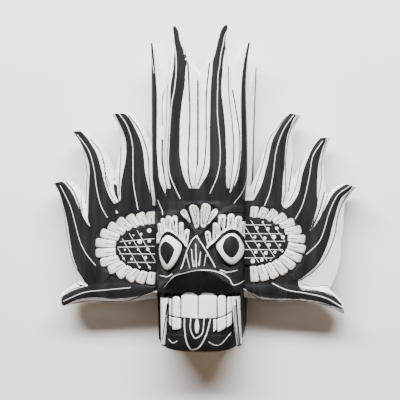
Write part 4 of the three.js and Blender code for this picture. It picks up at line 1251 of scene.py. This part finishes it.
def painted_wood():
    """Black over the carving, white laid on in areas, thin ink and chalk lines by a small brush."""
    f = Finish("brushed_black_and_white_paint", 0.5, 0.085)
    wander = f.sum("MULTIPLY", f.sum("SUBTRACT", f.noise(420, 2.0), 0.5), 0.9)
    white = f.ramp(f.sum("ADD", f.field("white_paint"), f.sum("MULTIPLY", wander, 0.7)), -0.1, 0.1)

    def line(kind, dry):
        place = f.sum("ADD", f.field(kind + "_place"), f.sum("MULTIPLY", wander, 0.5))
        within = f.ramp(f.sum("ABSOLUTE", place), 1.2, 0.8)
        near = f.ramp(f.field(kind + "_gap"), 0.75, 0.55)
        gaps = f.ramp(f.noise(900, 2.0), dry, dry + 0.08)
        return f.sum("MULTIPLY", f.sum("MULTIPLY", within, near), gaps)

    ink = line("ink", 0.24)
    chalk = f.sum("MAXIMUM", line("chalk", 0.3), f.sum("MULTIPLY", line("slant", 0.3), 0.8))
    streaks = f.noise(160, 4.0, (1, 0.12, 1))
    blotch = f.noise(60, 3.0)
    black = f.blend(f.ramp(streaks, 0.35, 0.75), BLACK, BLACK_WORN)
    pale = f.blend(f.sum("MULTIPLY", f.ramp(blotch, 0.45, 0.8), 0.35), WHITE, WHITE_THIN)
    pale = f.blend(f.ramp(streaks, 0.58, 0.8, 0, 0.2), pale, WHITE_THIN)
    # The white is greyed in patches where the greying field asks: painted shade under the brow and on the
    # lower eyeballs, elsewhere a greying near the crown's foot and the wings' rings.
    patchy = f.ramp(f.noise(240, 3.0, (1, 0.35, 1)), 0.25, 0.7, 0.25, 1.0)
    smudge_and_painted_shade = f.sum("MULTIPLY", f.field("grime_and_painted_shade"), patchy)
    pale = f.blend(smudge_and_painted_shade, pale, GRIME_AND_PAINTED_SHADE)
    colour = f.blend(white, black, pale)
    colour = f.blend(ink, colour, BLACK)
    colour = f.blend(f.sum("MULTIPLY", chalk, 0.92), colour, WHITE)
    f.join(f.shader.inputs["Base Color"], colour)
    lay = f.sum("ADD", f.sum("MULTIPLY", streaks, 0.5), f.sum("MULTIPLY", f.noise(700, 2.0), 0.25))
    lay = f.sum("ADD", lay, f.sum("MULTIPLY", f.sum("MAXIMUM", white, chalk), 0.25))
    f.join(f.shader.inputs["Normal"], f.bump(lay, 0.35, 0.0005))
    f.join(f.shader.inputs["Roughness"], f.ramp(streaks, 0.3, 0.8, 0.45, 0.56))
    return f.material


def white_edges():
    f = Finish("white_paint_on_saw_cuts", 0.7)
    grain = f.noise(120, 3.0, (1, 0.1, 1))
    colour = f.blend(f.ramp(grain, 0.4, 0.8, 0, 0.5), (0.86, 0.86, 0.87, 1), WHITE)
    f.join(f.shader.inputs["Base Color"], colour)
    f.join(f.shader.inputs["Normal"], f.bump(grain, 0.3, 0.0004))
    f.join(f.shader.inputs["Roughness"], f.ramp(grain, 0.3, 0.8, 0.62, 0.78))
    return f.material


def bare_wood():
    f = Finish("bare_light_wood", 0.75)
    grain = f.noise(90, 4.0, (1, 0.06, 1))
    gouge = f.noise(55, 2.0, (1, 0.5, 1))
    f.join(f.shader.inputs["Base Color"], f.blend(f.ramp(grain, 0.3, 0.75), WOOD, WOOD_DARK))
    f.join(f.shader.inputs["Normal"], f.bump(f.sum("ADD", grain, gouge), 0.5, 0.0008))
    f.join(f.shader.inputs["Roughness"], f.ramp(grain, 0.3, 0.8, 0.68, 0.82))
    return f.material


FINISHES = [painted_wood(), white_edges(), bare_wood()]


def dress(piece, node):
    piece.data.transform(Matrix.Translation((-MIDDLE[0] * MILLIMETRE, -MIDDLE[1] * MILLIMETRE, 0))
                         @ Matrix.Scale(MILLIMETRE, 4))
    for finish in FINISHES:
        piece.data.materials.append(finish)
    piece.data.shade_smooth()
    piece.data.set_sharp_from_angle(angle=math.radians(32))
    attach(piece, "root")
    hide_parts(node)


block = make_face_block()
paint_block(block)
dress(block, "face_block")
for wing in (LEFT_WING, RIGHT_WING):
    board_piece = make_wing(wing)
    fit_together(board_piece, [block_socket()], "DIFFERENCE")
    paint_wing(board_piece, wing)
    dress(board_piece, wing["name"])

# Floor, light and camera

bm = bmesh.new()
bmesh.ops.create_grid(bm, x_segments=2, y_segments=2, size=3)
floor = finished("floor", bm)
f = Finish("pale_floor", 0.9, 0.1)
tone = f.blend(f.ramp(f.noise(3, 2.0), 0.3, 0.7), (0.83, 0.825, 0.815, 1), (0.85, 0.845, 0.835, 1))
f.join(f.shader.inputs["Base Color"], tone)
floor.data.materials.append(f.material)

window = bpy.data.lights.new("window", "AREA")
window.shape = "RECTANGLE"
window.size = 2.2
window.size_y = 0.32
window.energy = 112
window.color = (1, 0.995, 0.99)
window_frame = bpy.data.objects.new("window", window)
bpy.context.scene.collection.objects.link(window_frame)
window_frame.location = (0, 1.0, 1.0)
window_frame.rotation_euler = (-window_frame.location).to_track_quat("-Z", "Y").to_euler()

world = bpy.data.worlds.new("room")
bpy.context.scene.world = world
world.use_nodes = True
world.node_tree.nodes["Background"].inputs["Color"].default_value = (1, 0.74, 0.54, 1)
world.node_tree.nodes["Background"].inputs["Strength"].default_value = 0.2

TILT = math.radians(7)
DISTANCE = 1.1
aim = Vector((0.00009 - MIDDLE[0] * MILLIMETRE, -0.01007 - MIDDLE[1] * MILLIMETRE, 0.03525))
camera_data = bpy.data.cameras.new("camera")
camera_data.sensor_width = 36
camera_data.lens = 108.2
camera = bpy.data.objects.new("camera", camera_data)
bpy.context.scene.collection.objects.link(camera)
camera.location = aim + DISTANCE * Vector((math.sin(TILT), 0, math.cos(TILT)))
camera.rotation_euler = (0, TILT, 0)
bpy.context.scene.camera = camera
